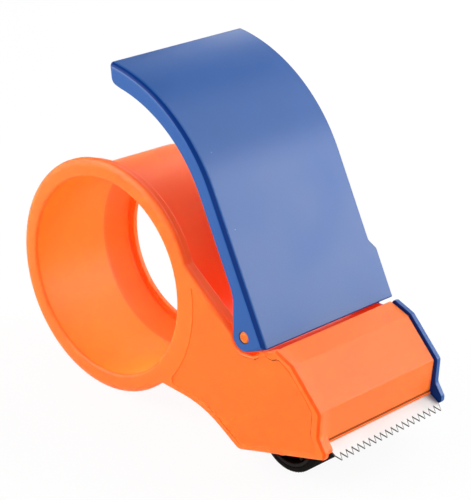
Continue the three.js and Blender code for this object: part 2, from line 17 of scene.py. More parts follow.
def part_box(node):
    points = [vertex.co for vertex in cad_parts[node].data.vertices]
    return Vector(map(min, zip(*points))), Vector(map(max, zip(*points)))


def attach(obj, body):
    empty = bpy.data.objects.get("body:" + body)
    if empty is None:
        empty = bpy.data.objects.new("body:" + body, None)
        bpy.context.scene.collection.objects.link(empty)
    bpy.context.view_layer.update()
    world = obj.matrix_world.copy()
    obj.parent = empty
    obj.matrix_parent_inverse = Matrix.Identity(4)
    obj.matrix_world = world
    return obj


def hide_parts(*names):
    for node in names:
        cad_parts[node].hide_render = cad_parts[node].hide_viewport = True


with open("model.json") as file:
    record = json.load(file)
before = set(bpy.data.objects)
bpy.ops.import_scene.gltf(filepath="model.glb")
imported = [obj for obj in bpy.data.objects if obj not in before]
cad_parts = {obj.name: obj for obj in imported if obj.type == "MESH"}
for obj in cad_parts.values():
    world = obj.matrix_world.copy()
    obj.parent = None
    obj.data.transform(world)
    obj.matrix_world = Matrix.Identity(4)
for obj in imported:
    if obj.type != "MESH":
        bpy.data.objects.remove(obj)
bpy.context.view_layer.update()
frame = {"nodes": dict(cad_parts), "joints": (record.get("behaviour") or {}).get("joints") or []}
MM = 0.001
FLANGE_R = 41.6
frame_low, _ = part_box("main_frame")
ORIGIN = Vector((frame_low.x + FLANGE_R * MM, frame_low.y, frame_low.z + FLANGE_R * MM))
print("building frame's origin in metres:", [round(v, 5) for v in ORIGIN])


def at(x, y, z):
    """A point of the building frame, in millimetres, as a point of the scene."""
    return ORIGIN + Vector((x, y, z)) * MM


# %% [markdown]
# ## The view
#
# The camera stands about 0.7 m away and looks down at 24 degrees, with a long lens, so the
# dispenser shows little perspective. A constraint could aim it, but three axes written out as
# a matrix also fix how far it is rolled.

# %% Camera
right = Vector((0.72125, 0.69065, 0.05297))
up = Vector((-0.31308, 0.25683, 0.91434))
back = right.cross(up)
camera_data = bpy.data.cameras.new("camera")
camera_data.lens = 142.81
camera_data.sensor_width = 36.0
camera_data.sensor_fit = "AUTO"
camera_data.clip_start = 0.01
camera = bpy.data.objects.new("camera", camera_data)
bpy.context.scene.collection.objects.link(camera)
turn = Matrix((right, up, back)).transposed().to_4x4()
camera.matrix_world = Matrix.Translation(at(449.68, -425.89, 283.59)) @ turn
bpy.context.scene.camera = camera
bpy.context.scene.view_settings.view_transform = "Standard"

# %% [markdown]
# ## The stage
#
# A pale floor, an even surround and five large soft lights. The camera sees the floor as
# nearly plain white, so it melts into the surround and keeps only a trace of the shadow.

# %% Floor
HALF_FLOOR, FLOOR_DROP = 4.0, 0.0004  # in metres; the drop keeps it clear of the feet
floor_mesh = bpy.data.meshes.new("floor")
floor_mesh.from_pydata([(x * HALF_FLOOR, y * HALF_FLOOR, 0)
                        for x, y in ((-1, -1), (1, -1), (1, 1), (-1, 1))], [], [(0, 1, 2, 3)])
floor = bpy.data.objects.new("floor", floor_mesh)
bpy.context.scene.collection.objects.link(floor)
floor.location.z = -FLOOR_DROP


def new_material(name):
    """An empty node material with its output, ready for nodes."""
    material = bpy.data.materials.new(name)
    material.use_nodes = True
    material.node_tree.nodes.clear()
    return material


def add_node(tree, kind, inputs=None, **settings):
    """Adds a node, sets its properties, and gives its sockets values or links them."""
    node = tree.nodes.new(kind)
    for key, value in settings.items():
        setattr(node, key, value)
    for key, value in (inputs or {}).items():
        if isinstance(value, bpy.types.NodeSocket):
            tree.links.new(value, node.inputs[key])
        else:
            node.inputs[key].default_value = value
    return node


def maths(tree, operation, a, b, clamp=False):
    """One sum of two values."""
    return add_node(tree, "ShaderNodeMath", {0: a, 1: b}, operation=operation,
                    use_clamp=clamp).outputs[0]


def mapped(tree, value, start, end, low=0.0, high=1.0):
    """A value with its range moved to another."""
    return add_node(tree, "ShaderNodeMapRange",
                    {"Value": value, "From Min": start, "From Max": end,
                     "To Min": low, "To Max": high}).outputs["Result"]


def noise(tree, place, scale, detail, roughness=0.5):
    """Smooth noise between about 0.3 and 0.7."""
    return add_node(tree, "ShaderNodeTexNoise",
                    {"Vector": place, "Scale": scale, "Detail": detail,
                     "Roughness": roughness}).outputs["Fac"]


def blended(tree, factor, a, b):
    """A colour between two others."""
    return add_node(tree, "ShaderNodeMix", {"Factor": factor, "A": a, "B": b},
                    data_type="RGBA").outputs["Result"]


FLOOR_WHITE = 0.93  # share of plain white in the floor as the camera and reflections see it
floor_material = new_material("floor")
tree = floor_material.node_tree
rays = add_node(tree, "ShaderNodeLightPath").outputs
plain = maths(tree, "ADD", rays["Is Camera Ray"], rays["Is Glossy Ray"])
plain = maths(tree, "ADD", plain, rays["Is Transmission Ray"])
share = maths(tree, "MULTIPLY", plain, FLOOR_WHITE, clamp=True)
paper = add_node(tree, "ShaderNodeBsdfPrincipled",
                 {"Base Color": (0.9, 0.9, 0.9, 1), "Roughness": 0.9,
                  "Specular IOR Level": 0.0})
white = add_node(tree, "ShaderNodeEmission", {"Color": (1, 1, 1, 1), "Strength": 1.0})
mix = add_node(tree, "ShaderNodeMixShader", {0: share, 1: paper.outputs["BSDF"],
                                             2: white.outputs["Emission"]})
add_node(tree, "ShaderNodeOutputMaterial", {"Surface": mix.outputs["Shader"]})
floor_mesh.materials.append(floor_material)

# %% Surround and lights
world = bpy.data.worlds.new("surround")
bpy.context.scene.world = world
world.use_nodes = True
tree = world.node_tree
tree.nodes.clear()
AMBIENT = 0.3
background = add_node(tree, "ShaderNodeBackground",
                      {"Color": (1, 1, 1, 1), "Strength": AMBIENT})
add_node(tree, "ShaderNodeOutputWorld", {"Surface": background.outputs["Background"]})
MIDDLE = (30, 30, 10)  # the lights face this point, near the part's middle


def soft_light(name, direction, distance, size, power):
    """A square area light that faces the dispenser from a direction, in metres and watts."""
    data = bpy.data.lights.new(name, "AREA")
    data.shape = "SQUARE"
    data.size = size
    data.energy = power
    light = bpy.data.objects.new(name, data)
    bpy.context.scene.collection.objects.link(light)
    direction = Vector(direction).normalized()
    light.location = at(*MIDDLE) + direction * distance
    light.rotation_euler = direction.to_track_quat("Z", "Y").to_euler()


LIGHTS = {  # name: direction, distance, size, power
    "left": ((-0.6, -0.7, 0.38), 0.7, 0.6, 4.6),
    "sheen": ((0.657, 0.676, 0.335), 0.8, 0.4, 2.95),
    "high": ((0.3, 0.5, 0.8), 0.45, 0.35, 0.65),
    "back": ((-0.3, 0.95, 0.15), 0.7, 0.6, 4.2),
    "right": ((0.75, -0.6, 0.35), 0.7, 0.4, 0.7),
}
for name, (direction, distance, size, power) in LIGHTS.items():
    soft_light(name, direction, distance, size, power)

# %% [markdown]
# ## Materials
#
# Every moulded surface shares one node group. Its soft clouds vary the colour and the gloss
# by a few percent, as flow in the mould does; its fine grain is the mould's own texture; its
# sparse specks are dust. Each material could have such nodes of its own; one group, placed in
# each with its own values, keeps them alike. Colour, gloss and strengths stay with each one.

# %% The shared skin of a moulding
CLOUD_LOW, CLOUD_HIGH = 0.3, 0.7  # the range that noise mostly keeps to
DUST_PATCH, DUST_FROM, DUST_FULL = 90.0, 0.6, 0.66  # dust lies only where this noise is high


def skin_group():
    """The node group with the clouds, the grain and the specks."""
    group = bpy.data.node_groups.new("moulded skin", "ShaderNodeTree")
    add = group.interface.new_socket
    for name, value in (("Cloud Scale", 40.0), ("Grain Scale", 2600.0), ("Speck Scale", 260.0),
                        ("Speck Size", 0.06)):
        add(name, in_out="INPUT", socket_type="NodeSocketFloat").default_value = value
    for name in ("Cloud", "Grain", "Specks"):
        add(name, in_out="OUTPUT", socket_type="NodeSocketFloat")
    inputs = group.nodes.new("NodeGroupInput").outputs
    place = add_node(group, "ShaderNodeTexCoord").outputs["Object"]
    dust = add_node(group, "ShaderNodeTexVoronoi",
                    {"Vector": place, "Scale": inputs["Speck Scale"]}).outputs["Distance"]
    dot = mapped(group, dust, inputs["Speck Size"], 0.0)
    rare = mapped(group, noise(group, place, DUST_PATCH, 1.0), DUST_FROM, DUST_FULL)
    add_node(group, "NodeGroupOutput",
             {"Cloud": noise(group, place, inputs["Cloud Scale"], 3.0, 0.55),
              "Grain": noise(group, place, inputs["Grain Scale"], 2.0, 0.6),
              "Specks": maths(group, "MULTIPLY", dot, rare)})
    return group


SKIN = skin_group()
CLOUD_SHIFT, CLOUD_ROUGH = 0.05, 0.03  # how far the clouds change a colour and its roughness
GRAIN_HEIGHT, MARK_HEIGHT = 0.0002, 0.0001  # in metres
SOAK = (1.0, 0.045, 0.02)  # red light soaks in far, green and blue hardly
PAINTED_GLOW_COLOUR = (1.0, 0.03, 0.0, 1)  # a painted red glow: an emission that keeps the orange red in shade


def moulded(name, colour, roughness, grain=0.05, specular=0.5, speck_colour=None, speck=0.0,
            depth=0.0, painted_glow=0.0):
    """A moulded plastic or rubber: colour, gloss, skin, how deep light soaks into it, and a
    painted red glow.
    """
    material = new_material(name)
    tree = material.node_tree
    skin = add_node(tree, "ShaderNodeGroup", node_tree=SKIN).outputs
    darker = [c * (1 - CLOUD_SHIFT) for c in colour]
    lighter = [min(1.0, c * (1 + CLOUD_SHIFT)) for c in colour]
    base = blended(tree, mapped(tree, skin["Cloud"], CLOUD_LOW, CLOUD_HIGH),
                   (*darker, 1), (*lighter, 1))
    if speck:
        base = blended(tree, maths(tree, "MULTIPLY", skin["Specks"], speck),
                       base, (*speck_colour, 1))
    rough = mapped(tree, skin["Cloud"], CLOUD_LOW, CLOUD_HIGH, roughness - CLOUD_ROUGH,
                   roughness + CLOUD_ROUGH)
    bump = add_node(tree, "ShaderNodeBump", {"Height": skin["Grain"], "Strength": grain,
                                             "Distance": GRAIN_HEIGHT})
    shader = add_node(tree, "ShaderNodeBsdfPrincipled",
                      {"Base Color": base, "Roughness": rough, "Normal": bump.outputs["Normal"],
                       "Specular IOR Level": specular,
                       "Subsurface Weight": 1.0 if depth else 0.0, "Subsurface Scale": depth,
                       "Subsurface Radius": SOAK, "Emission Color": PAINTED_GLOW_COLOUR,
                       "Emission Strength": painted_glow})
    add_node(tree, "ShaderNodeOutputMaterial", {"Surface": shader.outputs["BSDF"]})
    return material


def dress(obj, *materials):
    """Gives an object its materials, in slot order, and keeps each face's slot."""
    slots = [face.material_index for face in obj.data.polygons]
    obj.data.materials.clear()
    for material in materials:
        obj.data.materials.append(material)
    obj.data.polygons.foreach_set("material_index", [min(s, len(materials) - 1) for s in slots])
    return obj


# %% The finishes
SOAK_DEPTH, PAINTED_GLOW = 0.0045, 0.3  # how deep light soaks in, in metres, and the strength of the painted red glow


def orange(name, colour, roughness, **settings):
    """One finish of the orange plastic, with light soaking in and a painted red glow."""
    return moulded(name, colour, roughness, depth=SOAK_DEPTH, painted_glow=PAINTED_GLOW, **settings)


ORANGE = orange("orange", (0.9, 0.21, 0.028), 0.43, specular=0.34, grain=0.08, speck=0.25,
                speck_colour=(0.6, 0.09, 0.02))
ORANGE_PANEL = orange("orange_panel", (0.9, 0.195, 0.026), 0.55, specular=0.34, grain=0.6)
# painted shade: a darker orange for the cheek's rim where it faces forwards
ORANGE_RIM_SHADE = orange("orange_edge", (0.9, 0.135, 0.008), 0.4, specular=0.2, grain=0.08)
# painted shade: a dark red for the ledge under the handle's foot
ORANGE_LEDGE_SHADE = orange("orange_ledge", (0.75, 0.03, 0.008), 0.4, specular=0.2, grain=0.08)
# painted light: a lighter orange for the bore
ORANGE_BORE_LIT = orange("orange_bore", (0.9, 0.3, 0.032), 0.45, specular=0.3, grain=0.2)
# painted shade: a dark orange for the panel's groove and for the bar's lip under the hood
ORANGE_SHADE = moulded("orange_groove", (0.38, 0.08, 0.012), 0.7, specular=0.2, grain=0.3)
BLUE = moulded("blue", (0.003, 0.087, 0.35), 0.36, grain=0.16, speck=0.7,
               speck_colour=(0.45, 0.52, 0.7))
# painted shade: a darker blue for shaded edges and faces of the blue parts
BLUE_SHADE = moulded("blue_edge", (0.001, 0.035, 0.22), 0.3, specular=0.15, grain=0.1)
BLACK = moulded("black_plastic", (0.006, 0.005, 0.004), 0.5, grain=0.1, specular=0.14)
RUBBER = moulded("black_rubber", (0.004, 0.003, 0.002), 0.7, grain=0.5, specular=0.08)
NYLON = moulded("white_nylon", (0.78, 0.75, 0.68), 0.45, grain=0.1)


BRUSHED = 0.03  # the pattern's scale along the brushing, which draws the marks out
MARK_SCALE, STAIN_SCALE, STAIN = 2200.0, 120.0, 0.94


def metal(name, colour, roughness, brush_axis=None, strength=0.1, metallic=1.0):
    """Bright steel with fine marks, drawn out along one axis where it is brushed."""
    material = new_material(name)
    tree = material.node_tree
    place = add_node(tree, "ShaderNodeTexCoord").outputs["Object"]
    stretch = [1.0, 1.0, 1.0]
    if brush_axis is not None:
        stretch[brush_axis] = BRUSHED
    drawn = add_node(tree, "ShaderNodeMapping", {"Vector": place, "Scale": stretch})
    marks = noise(tree, drawn.outputs["Vector"], MARK_SCALE, 3.0)
    stain = noise(tree, place, STAIN_SCALE, 2.0)
    rough = mapped(tree, stain, CLOUD_LOW, CLOUD_HIGH, roughness - 0.05, roughness + 0.05)
    tint = blended(tree, stain, (*[c * STAIN for c in colour], 1), (*colour, 1))
    bump = add_node(tree, "ShaderNodeBump", {"Height": marks, "Strength": strength,
                                             "Distance": MARK_HEIGHT})
    shader = add_node(tree, "ShaderNodeBsdfPrincipled",
                      {"Base Color": tint, "Metallic": metallic, "Roughness": rough,
                       "Normal": bump.outputs["Normal"]})
    add_node(tree, "ShaderNodeOutputMaterial", {"Surface": shader.outputs["BSDF"]})
    return material


BLADE_STEEL = metal("blade_steel", (0.72, 0.71, 0.7), 0.42, brush_axis=1, strength=0.25,
                    metallic=0.6)
# painted shade: a dark steel for the blade's cut flanks and far ground edge
STEEL_SHADE = metal("cut_steel", (0.1, 0.1, 0.1), 0.6, strength=0.4)
BRIGHT_STEEL = metal("bright_steel", (0.78, 0.78, 0.77), 0.22)
FINISH = {"orange_plastic": ORANGE, "blue_plastic": BLUE, "black_plastic": BLACK,
          "black_rubber": RUBBER, "blade_steel": BLADE_STEEL, "bright_steel": BRIGHT_STEEL,
          "nylon": NYLON}
for node in frame["nodes"].values():
    for part in node.material_slots:
        part.material = FINISH[part.material.name.split(".")[0]]

# %% [markdown]
# ## Tools for moulded shapes
#
# A moulded wall is a flat outline given thickness, with soft edges. An outline is a list of
# corners `(x, z, radius)`, counterclockwise seen from the near side; a radius of `None` keeps
# one plain point. Every inset of an outline has the same number of points, so its rings can
# be bridged one to one, and a fillet is just a few rings.

# %% Outlines
STEPS = 6  # parts of a round corner
EDGE_USE = 0.48  # share of an edge that one round corner may use
NEARLY_STRAIGHT, TINY = 1.56, 1e-4
SHARPEST = 0.3  # keeps the inset of a sharp corner from running away


def rounded(corners, steps=STEPS):
    """The points of an outline, each round corner an arc of steps + 1 points."""
    points = []
    for i, (x, z, radius) in enumerate(corners):
        corner = np.array((x, z))
        if radius is None:
            points.append(corner)
            continue
        to_a = np.array(corners[i - 1][:2]) - corner
        to_b = np.array(corners[(i + 1) % len(corners)][:2]) - corner
        reach = EDGE_USE * min(np.linalg.norm(to_a), np.linalg.norm(to_b))
        to_a /= np.linalg.norm(to_a)
        to_b /= np.linalg.norm(to_b)
        half = math.acos(np.clip(to_a @ to_b, -1, 1)) / 2
        tangent = min(radius / math.tan(half), reach) if half < NEARLY_STRAIGHT else 0.0
        if tangent < TINY:
            points += [corner] * (steps + 1)
            continue
        r = tangent * math.tan(half)
        middle = (to_a + to_b) / np.linalg.norm(to_a + to_b)
        centre = corner + middle * r / math.sin(half)
        start = corner + to_a * tangent - centre
        end = corner + to_b * tangent - centre
        sweep = math.atan2(start[0] * end[1] - start[1] * end[0], start @ end)
        for k in range(steps + 1):
            c, s = math.cos(sweep * k / steps), math.sin(sweep * k / steps)
            points.append(centre + (c * start[0] - s * start[1], s * start[0] + c * start[1]))
    return np.array(points)


def spread(values, corners, steps=STEPS):
    """One value for each point of a rounded outline, from one value for each corner."""
    return np.repeat(values, [1 if c[2] is None else steps + 1 for c in corners])


def arc(x, z, radius, start, end, step=3.0):
    """Corners along a circular arc, angles in degrees, ends included."""
    count = max(1, math.ceil(abs(end - start) / step))
    angles = np.radians(np.linspace(start, end, count + 1))
    return [(x + radius * math.cos(a), z + radius * math.sin(a), None) for a in angles]


def inset(corners, distance, closed=True):
    """Corners moved inwards by one distance, or by one distance for each corner."""
    points = np.array([c[:2] for c in corners], float)
    distance = np.broadcast_to(np.asarray(distance, float), len(points))
    edges = np.roll(points, -1, axis=0) - points
    edges /= np.linalg.norm(edges, axis=1)[:, None]
    after = np.stack((-edges[:, 1], edges[:, 0]), axis=1)
    before = np.roll(after, 1, axis=0)
    if not closed:
        before[0] = after[0]
        after[-1] = before[-1]
    middle = before + after
    middle /= np.linalg.norm(middle, axis=1)[:, None]
    scale = distance / np.maximum(SHARPEST, (middle * before).sum(1))
    moved = points + middle * scale[:, None]
    turning = before[:, 0] * after[:, 1] - before[:, 1] * after[:, 0]
    radii = [None if c[2] is None else max(0.0, c[2] - d * (1 if t > 0 else -1))
             for c, d, t in zip(corners, distance, turning)]
    return [(p[0], p[1], r) for p, r in zip(moved, radii)]


# %% [markdown]
# `Shell` collects rings and faces in millimetres. `piece` turns it into an object in metres.
# `combine` joins or cuts closed shells, and `settle` bakes modifiers into a plain mesh. They
# could stay live, but a plain mesh can be measured, painted and exported as it is.

# %% Shells and solids
class Shell:
    """A closed surface made of bridged rings of points."""

    def __init__(self):
        self.bm = bmesh.new()

    def ring(self, points, y):
        """A ring in a plane across the Y axis, or with one y for each point."""
        ys = np.broadcast_to(np.asarray(y, float), len(points))
        return [self.bm.verts.new((p[0], v, p[1])) for p, v in zip(points, ys)]

    def bridge(self, rings, closed=True):
        """Bands of quads between neighbouring rings."""
        for a, b in zip(rings, rings[1:]):
            count = len(a) if closed else len(a) - 1
            for i in range(count):
                j = (i + 1) % len(a)
                self.bm.faces.new((a[i], a[j], b[j], b[i]))

    def fill(self, *rings):
        """A flat face inside the first ring, with the other rings as holes."""
        edges = []
        for ring in rings:
            apart = [v for i, v in enumerate(ring) if (v.co - ring[i - 1].co).length > TINY]
            for i, v in enumerate(apart):
                pair = (v, apart[(i + 1) % len(apart)])
                edges.append(self.bm.edges.get(pair) or self.bm.edges.new(pair))
        made = bmesh.ops.triangle_fill(self.bm, use_beauty=True, edges=edges)["geom"]
        return [g for g in made if isinstance(g, bmesh.types.BMFace)]

    def ends(self, rings):
        """Flat faces inside the first and the last ring."""
        self.fill(rings[0])
        self.fill(rings[-1])

    def lathe(self, profile, x=0.0, z=0.0, segments=96):
        """A closed profile of (radius, y) turned about a line parallel to Y."""
        angles = np.linspace(0, 2 * math.pi, segments, endpoint=False)
        rings = [self.ring([(x + r * math.cos(a), z + r * math.sin(a)) for a in angles], y)
                 for r, y in profile]
        self.bridge(rings)
        return rings

    def close(self):
        """Welds, drops empty faces and points every face outwards."""
        bmesh.ops.remove_doubles(self.bm, verts=self.bm.verts, dist=TINY)
        bmesh.ops.dissolve_degenerate(self.bm, dist=TINY, edges=self.bm.edges)
        bmesh.ops.recalc_face_normals(self.bm, faces=self.bm.faces)
        return self


def piece(name, shell):
    """An object in metres, at the origin, from a shell in millimetres."""
    shell.close()
    mesh = bpy.data.meshes.new(name)
    shell.bm.transform(Matrix.Translation(ORIGIN) @ Matrix.Scale(MM, 4))
    shell.bm.to_mesh(mesh)
    shell.bm.free()
    obj = bpy.data.objects.new(name, mesh)
    bpy.context.scene.collection.objects.link(obj)
    return obj


def block(name, rings):
    """An object from rings of (x, y, z) points, with a flat face at each end."""
    shell = Shell()
    rings = [[shell.bm.verts.new(point) for point in ring] for ring in rings]
    shell.bridge(rings)
    for ring in (rings[0], rings[-1]):
        shell.bm.faces.new(ring)
    return piece(name, shell)


def turned(name, profile, x=0.0, z=0.0, segments=64):
    """An object from an open profile of (radius, y), with flat ends."""
    shell = Shell()
    shell.ends(shell.lathe(profile, x, z, segments))
    return piece(name, shell)


def settle(obj):
    """Bakes an object's modifiers into a plain mesh."""
    graph = bpy.context.evaluated_depsgraph_get()
    baked = bpy.data.meshes.new_from_object(obj.evaluated_get(graph))
    old = obj.data
    obj.modifiers.clear()
    obj.data = baked
    baked.name = obj.name
    bpy.data.meshes.remove(old)
    return obj


def combine(obj, others, operation="UNION"):
    """Joins, cuts or intersects closed shells, and removes the ones used up."""
    for other in others:
        modifier = obj.modifiers.new("combine", "BOOLEAN")
        modifier.operation = operation
        modifier.solver = "MANIFOLD"
        modifier.object = other
    settle(obj)
    for other in others:
        bpy.data.objects.remove(other)
    return obj


def soften(obj, degrees=30.0):
    """Smooth shading that keeps flat faces flat and crisp edges crisp."""
    obj.data.shade_smooth()
    obj.data.set_sharp_from_angle(angle=math.radians(degrees))
    modifier = obj.modifiers.new("normals", "WEIGHTED_NORMAL")
    modifier.keep_sharp = True
    modifier.weight = 80
    settle(obj)
    bm = bmesh.new()
    bm.from_mesh(obj.data)
    open_edges = sum(1 for e in bm.edges if not e.is_manifold)
    triangles = sum(len(f.verts) - 2 for f in bm.faces)
    bm.free()
    print(f"{obj.name}: {triangles} triangles, {open_edges} open edges")
    return obj


def repaint(obj, slot, chosen):
    """Moves chosen faces of the first slot to another, by centre in mm and by normal."""
    for face in obj.data.polygons:
        if face.material_index == 0 and chosen((face.center - ORIGIN) / MM, face.normal):
            face.material_index = slot


def plate(name, corners, near, far, near_edge=0.3, far_edge=0.3, steps=STEPS, turns=4):
    """A flat moulding between two y values with a fillet round each face."""
    shell = Shell()
    rings = []
    for edge, face, sign in ((near_edge, near, 1), (far_edge, far, -1)):
        for k in range(turns + 1)[::sign]:
            a = math.pi / 2 * k / turns
            points = rounded(inset(corners, edge * (1 - math.sin(a))), steps)
            rings.append(shell.ring(points, face + sign * edge * (1 - math.cos(a))))
    shell.bridge(rings)
    shell.ends(rings)
    return piece(name, shell)


def pin(name, radius, near, far, x, z, edge=0.15, segments=48):
    """A round pin or post with softened ends."""
    edge = min(edge, radius)
    side = [(radius - edge, 0), (radius - 0.3 * edge, 0.3 * edge), (radius, edge)]
    profile = [(r, near + y) for r, y in side] + [(r, far - y) for r, y in side[::-1]]
    return turned(name, profile, x, z, segments)


def hole(radius, near, far, x, z, segments=48):
    """A pin with crisp ends, to cut a hole with."""
    return pin("hole", radius, near, far, x, z, 0.01, segments)


# %% [markdown]
# ## Repeats
#
# Repeated details come from two Geometry Nodes groups. The first copies a small mesh a number
# of times: each copy moves on by a step and turns on by an angle about an axis parallel to Y.
# The second puts one copy at each of a list of points. An Array modifier could do some of
# this, but here the count, the step and the turn are plain named inputs.

# %% Repeat group
def copies_group(name, kinds):
    """A node group with an Object and a Material among its inputs."""
    group = bpy.data.node_groups.new(name, "GeometryNodeTree")
    add = group.interface.new_socket
    sockets = {key: add(key, in_out="INPUT", socket_type="NodeSocket" + kind).identifier
               for key, kind in kinds}
    add("Geometry", in_out="OUTPUT", socket_type="NodeSocketGeometry")
    return group, sockets, group.nodes.new("NodeGroupInput").outputs


def copy_detail(group, inputs, places):
    """Puts the detail at places, makes the copies real and gives them their material."""
    source = add_node(group, "GeometryNodeObjectInfo", {"Object": inputs["Detail"]})
    copies = add_node(group, "GeometryNodeInstanceOnPoints",
                      {**places, "Instance": source.outputs["Geometry"]})
    real = add_node(group, "GeometryNodeRealizeInstances", {"Geometry": copies.outputs[0]})
    dressed = add_node(group, "GeometryNodeSetMaterial",
                       {"Geometry": real.outputs[0], "Material": inputs["Material"]})
    add_node(group, "NodeGroupOutput", {"Geometry": dressed.outputs[0]})


REPEAT, REPEAT_INPUTS, inputs = copies_group("repeat", (
    ("Detail", "Object"), ("Count", "Int"), ("Centre", "Vector"), ("Step", "Vector"),
    ("Turn", "Float"), ("Material", "Material")))
index = add_node(REPEAT, "GeometryNodeInputIndex").outputs["Index"]
moved = add_node(REPEAT, "ShaderNodeVectorMath", {0: inputs["Step"], "Scale": index},
                 operation="SCALE")
place = add_node(REPEAT, "ShaderNodeVectorMath", {0: inputs["Centre"], 1: moved.outputs[0]},
                 operation="ADD")
points = add_node(REPEAT, "GeometryNodePoints",
                  {"Count": inputs["Count"], "Position": place.outputs[0]})
euler = add_node(REPEAT, "ShaderNodeCombineXYZ",
                 {"Y": maths(REPEAT, "MULTIPLY", inputs["Turn"], index)})
copy_detail(REPEAT, inputs, {"Points": points.outputs[0], "Rotation": euler.outputs[0]})

PLACED, PLACED_INPUTS, inputs = copies_group("placed copies", (
    ("Geometry", "Geometry"), ("Detail", "Object"), ("Material", "Material")))
copy_detail(PLACED, inputs, {"Points": inputs["Geometry"]})


def grown(name, group, sockets, detail, values, places=()):
    """A plain mesh made by one of the groups. The detail is used up."""
    mesh = bpy.data.meshes.new(name)
    mesh.from_pydata([tuple(place) for place in places], [], [])
    obj = bpy.data.objects.new(name, mesh)
    bpy.context.scene.collection.objects.link(obj)
    modifier = obj.modifiers.new("copies", "NODES")
    modifier.node_group = group
    for key, value in {"Detail": detail, **values}.items():
        modifier[sockets[key]] = value
    settle(obj)
    bpy.data.objects.remove(detail)
    return obj


def repeated(name, detail, count, centre, step=(0, 0, 0), turn=0.0, material=None):
    """Copies of a detail made about the origin, stepped and turned, in metres."""
    return grown(name, REPEAT, REPEAT_INPUTS, detail,
                 {"Count": count, "Centre": Vector(centre), "Step": Vector(step),
                  "Turn": turn, "Material": material})


def placed(name, detail, places, material):
    """One copy of a detail at each of the places, in metres."""
    return grown(name, PLACED, PLACED_INPUTS, detail, {"Material": material}, places)


def centred(obj, x, y, z):
    """Moves a detail's mesh from its place in the building frame to the origin."""
    obj.data.transform(Matrix.Translation(-at(x, y, z)))
    return obj


# %% [markdown]
# ## The orange moulding
#
# The hub, the cheek and the hood are one moulding. The front face is one outline: the hub's
# flange runs round the mouth and flows into the cheek. Its edge is broad and soft on the
# flange and tighter on the cheek, so each point of the outline has its own fillet.

# %% Sizes of the moulding
CHEEK_T, SHOULDER_Y, HEAD_END = 2.5, 5.6, 59.3
HUB_R, HUB_BORE, HUB_END, DRAFT = 37.2, 34.9, 44.9, 0.5
LIP_R, LIP_STEP_R, LIP_T, BORE_FILLET = 30.3, 32.2, 3.6, 9.0
joint_at = {j["name"]: (Vector(j["pos_m"]) - ORIGIN) / MM for j in frame["joints"]}
HINGE_X, _, HINGE_Z = joint_at["handle_hinge"]
ROLLER_X, _, AXLE_Z = joint_at["roller_spin"]
TOE = [(103.4, -27.75, 2.0), (103.3, -25.4, 1.4), (100.1, -21.2, 2.5), (100.1, -12.6, 1.8),
       (87.2, -0.4, 2.0), (79.6, 2.2, 1.0)]
HEEL = (66.5, -39.2, 3.0)
BELLY = (49.6, -30.0, 46.0)
KINK_ANGLE, BELLY_ANGLE = 24.54, -44.32
EAR_R, NOTCH_R = 4.9, 5.6
NOTCH = arc(HINGE_X, HINGE_Z, NOTCH_R, -75, -172)
UNDER_FOOT = [(77.4, 1.0, 0.6), (70.2, -3.65, 1.5)]
EDGE_KINK = arc(0, 0, FLANGE_R + 0.06, KINK_ANGLE, KINK_ANGLE)[0]
SOFT_END = ((0.0, 0.4), (0.12, 0.12), (0.4, 0.0))  # inset and distance before a back face
print("hinge axis:", round(HINGE_X, 2), round(HINGE_Z, 2))

# %% Front face and flange
flange_arc = arc(0, 0, FLANGE_R, KINK_ANGLE, 360 + BELLY_ANGLE)[1:-1]
belly_start = (*arc(0, 0, FLANGE_R + 0.19, BELLY_ANGLE, BELLY_ANGLE)[0][:2], 0.8)
front = [belly_start, BELLY, HEEL, *TOE, *UNDER_FOOT, *NOTCH, (*EDGE_KINK[:2], 1.5), *flange_arc]
CHEEK_EDGE, FLANGE_EDGE, FLANGE_DROP = 0.9, 2.8, 1.4  # the front fillet's width and depth
BLEND, TURNS = 24, 8  # degrees in which it changes, and its parts


def flange_share(x, z):
    """How much a point of the outline belongs to the flange: 0 on the cheek, 1 on the flange."""
    angle = math.degrees(math.atan2(z, x)) % 360
    if math.hypot(x, z) > FLANGE_R + 0.5:
        return 0.0
    gap = min(angle - KINK_ANGLE, 360 + BELLY_ANGLE - angle)
    share = min(1.0, max(0.0, gap / BLEND))
    return share * share * (3 - 2 * share)


shares = np.array([flange_share(x, z) for x, z, _ in front])
widths = CHEEK_EDGE + (FLANGE_EDGE - CHEEK_EDGE) * shares
drops = spread(CHEEK_EDGE + (FLANGE_DROP - CHEEK_EDGE) * shares, front)
shell = Shell()
outer = []
for k in range(TURNS + 1):
    a = math.pi / 2 * k / TURNS
    points = rounded(inset(front, widths * (1 - math.sin(a))))
    outer.append(shell.ring(points, drops * (1 - math.cos(a))))
for distance, before_end in SOFT_END:
    outer.append(shell.ring(rounded(inset(front, distance)), CHEEK_T - before_end))
shell.bridge(outer)

# %% [markdown]
# The hub is a drum that carries the tape's core. Its profile runs through the bell of the
# mouth, the bore and its inner fillet, the stepped lip, and along the drum's outside back to
# the cheek. It could be a pin joined on, but turned in the same shell as the face it stays one
# surface with it, and the mouth gets no crisp seam.

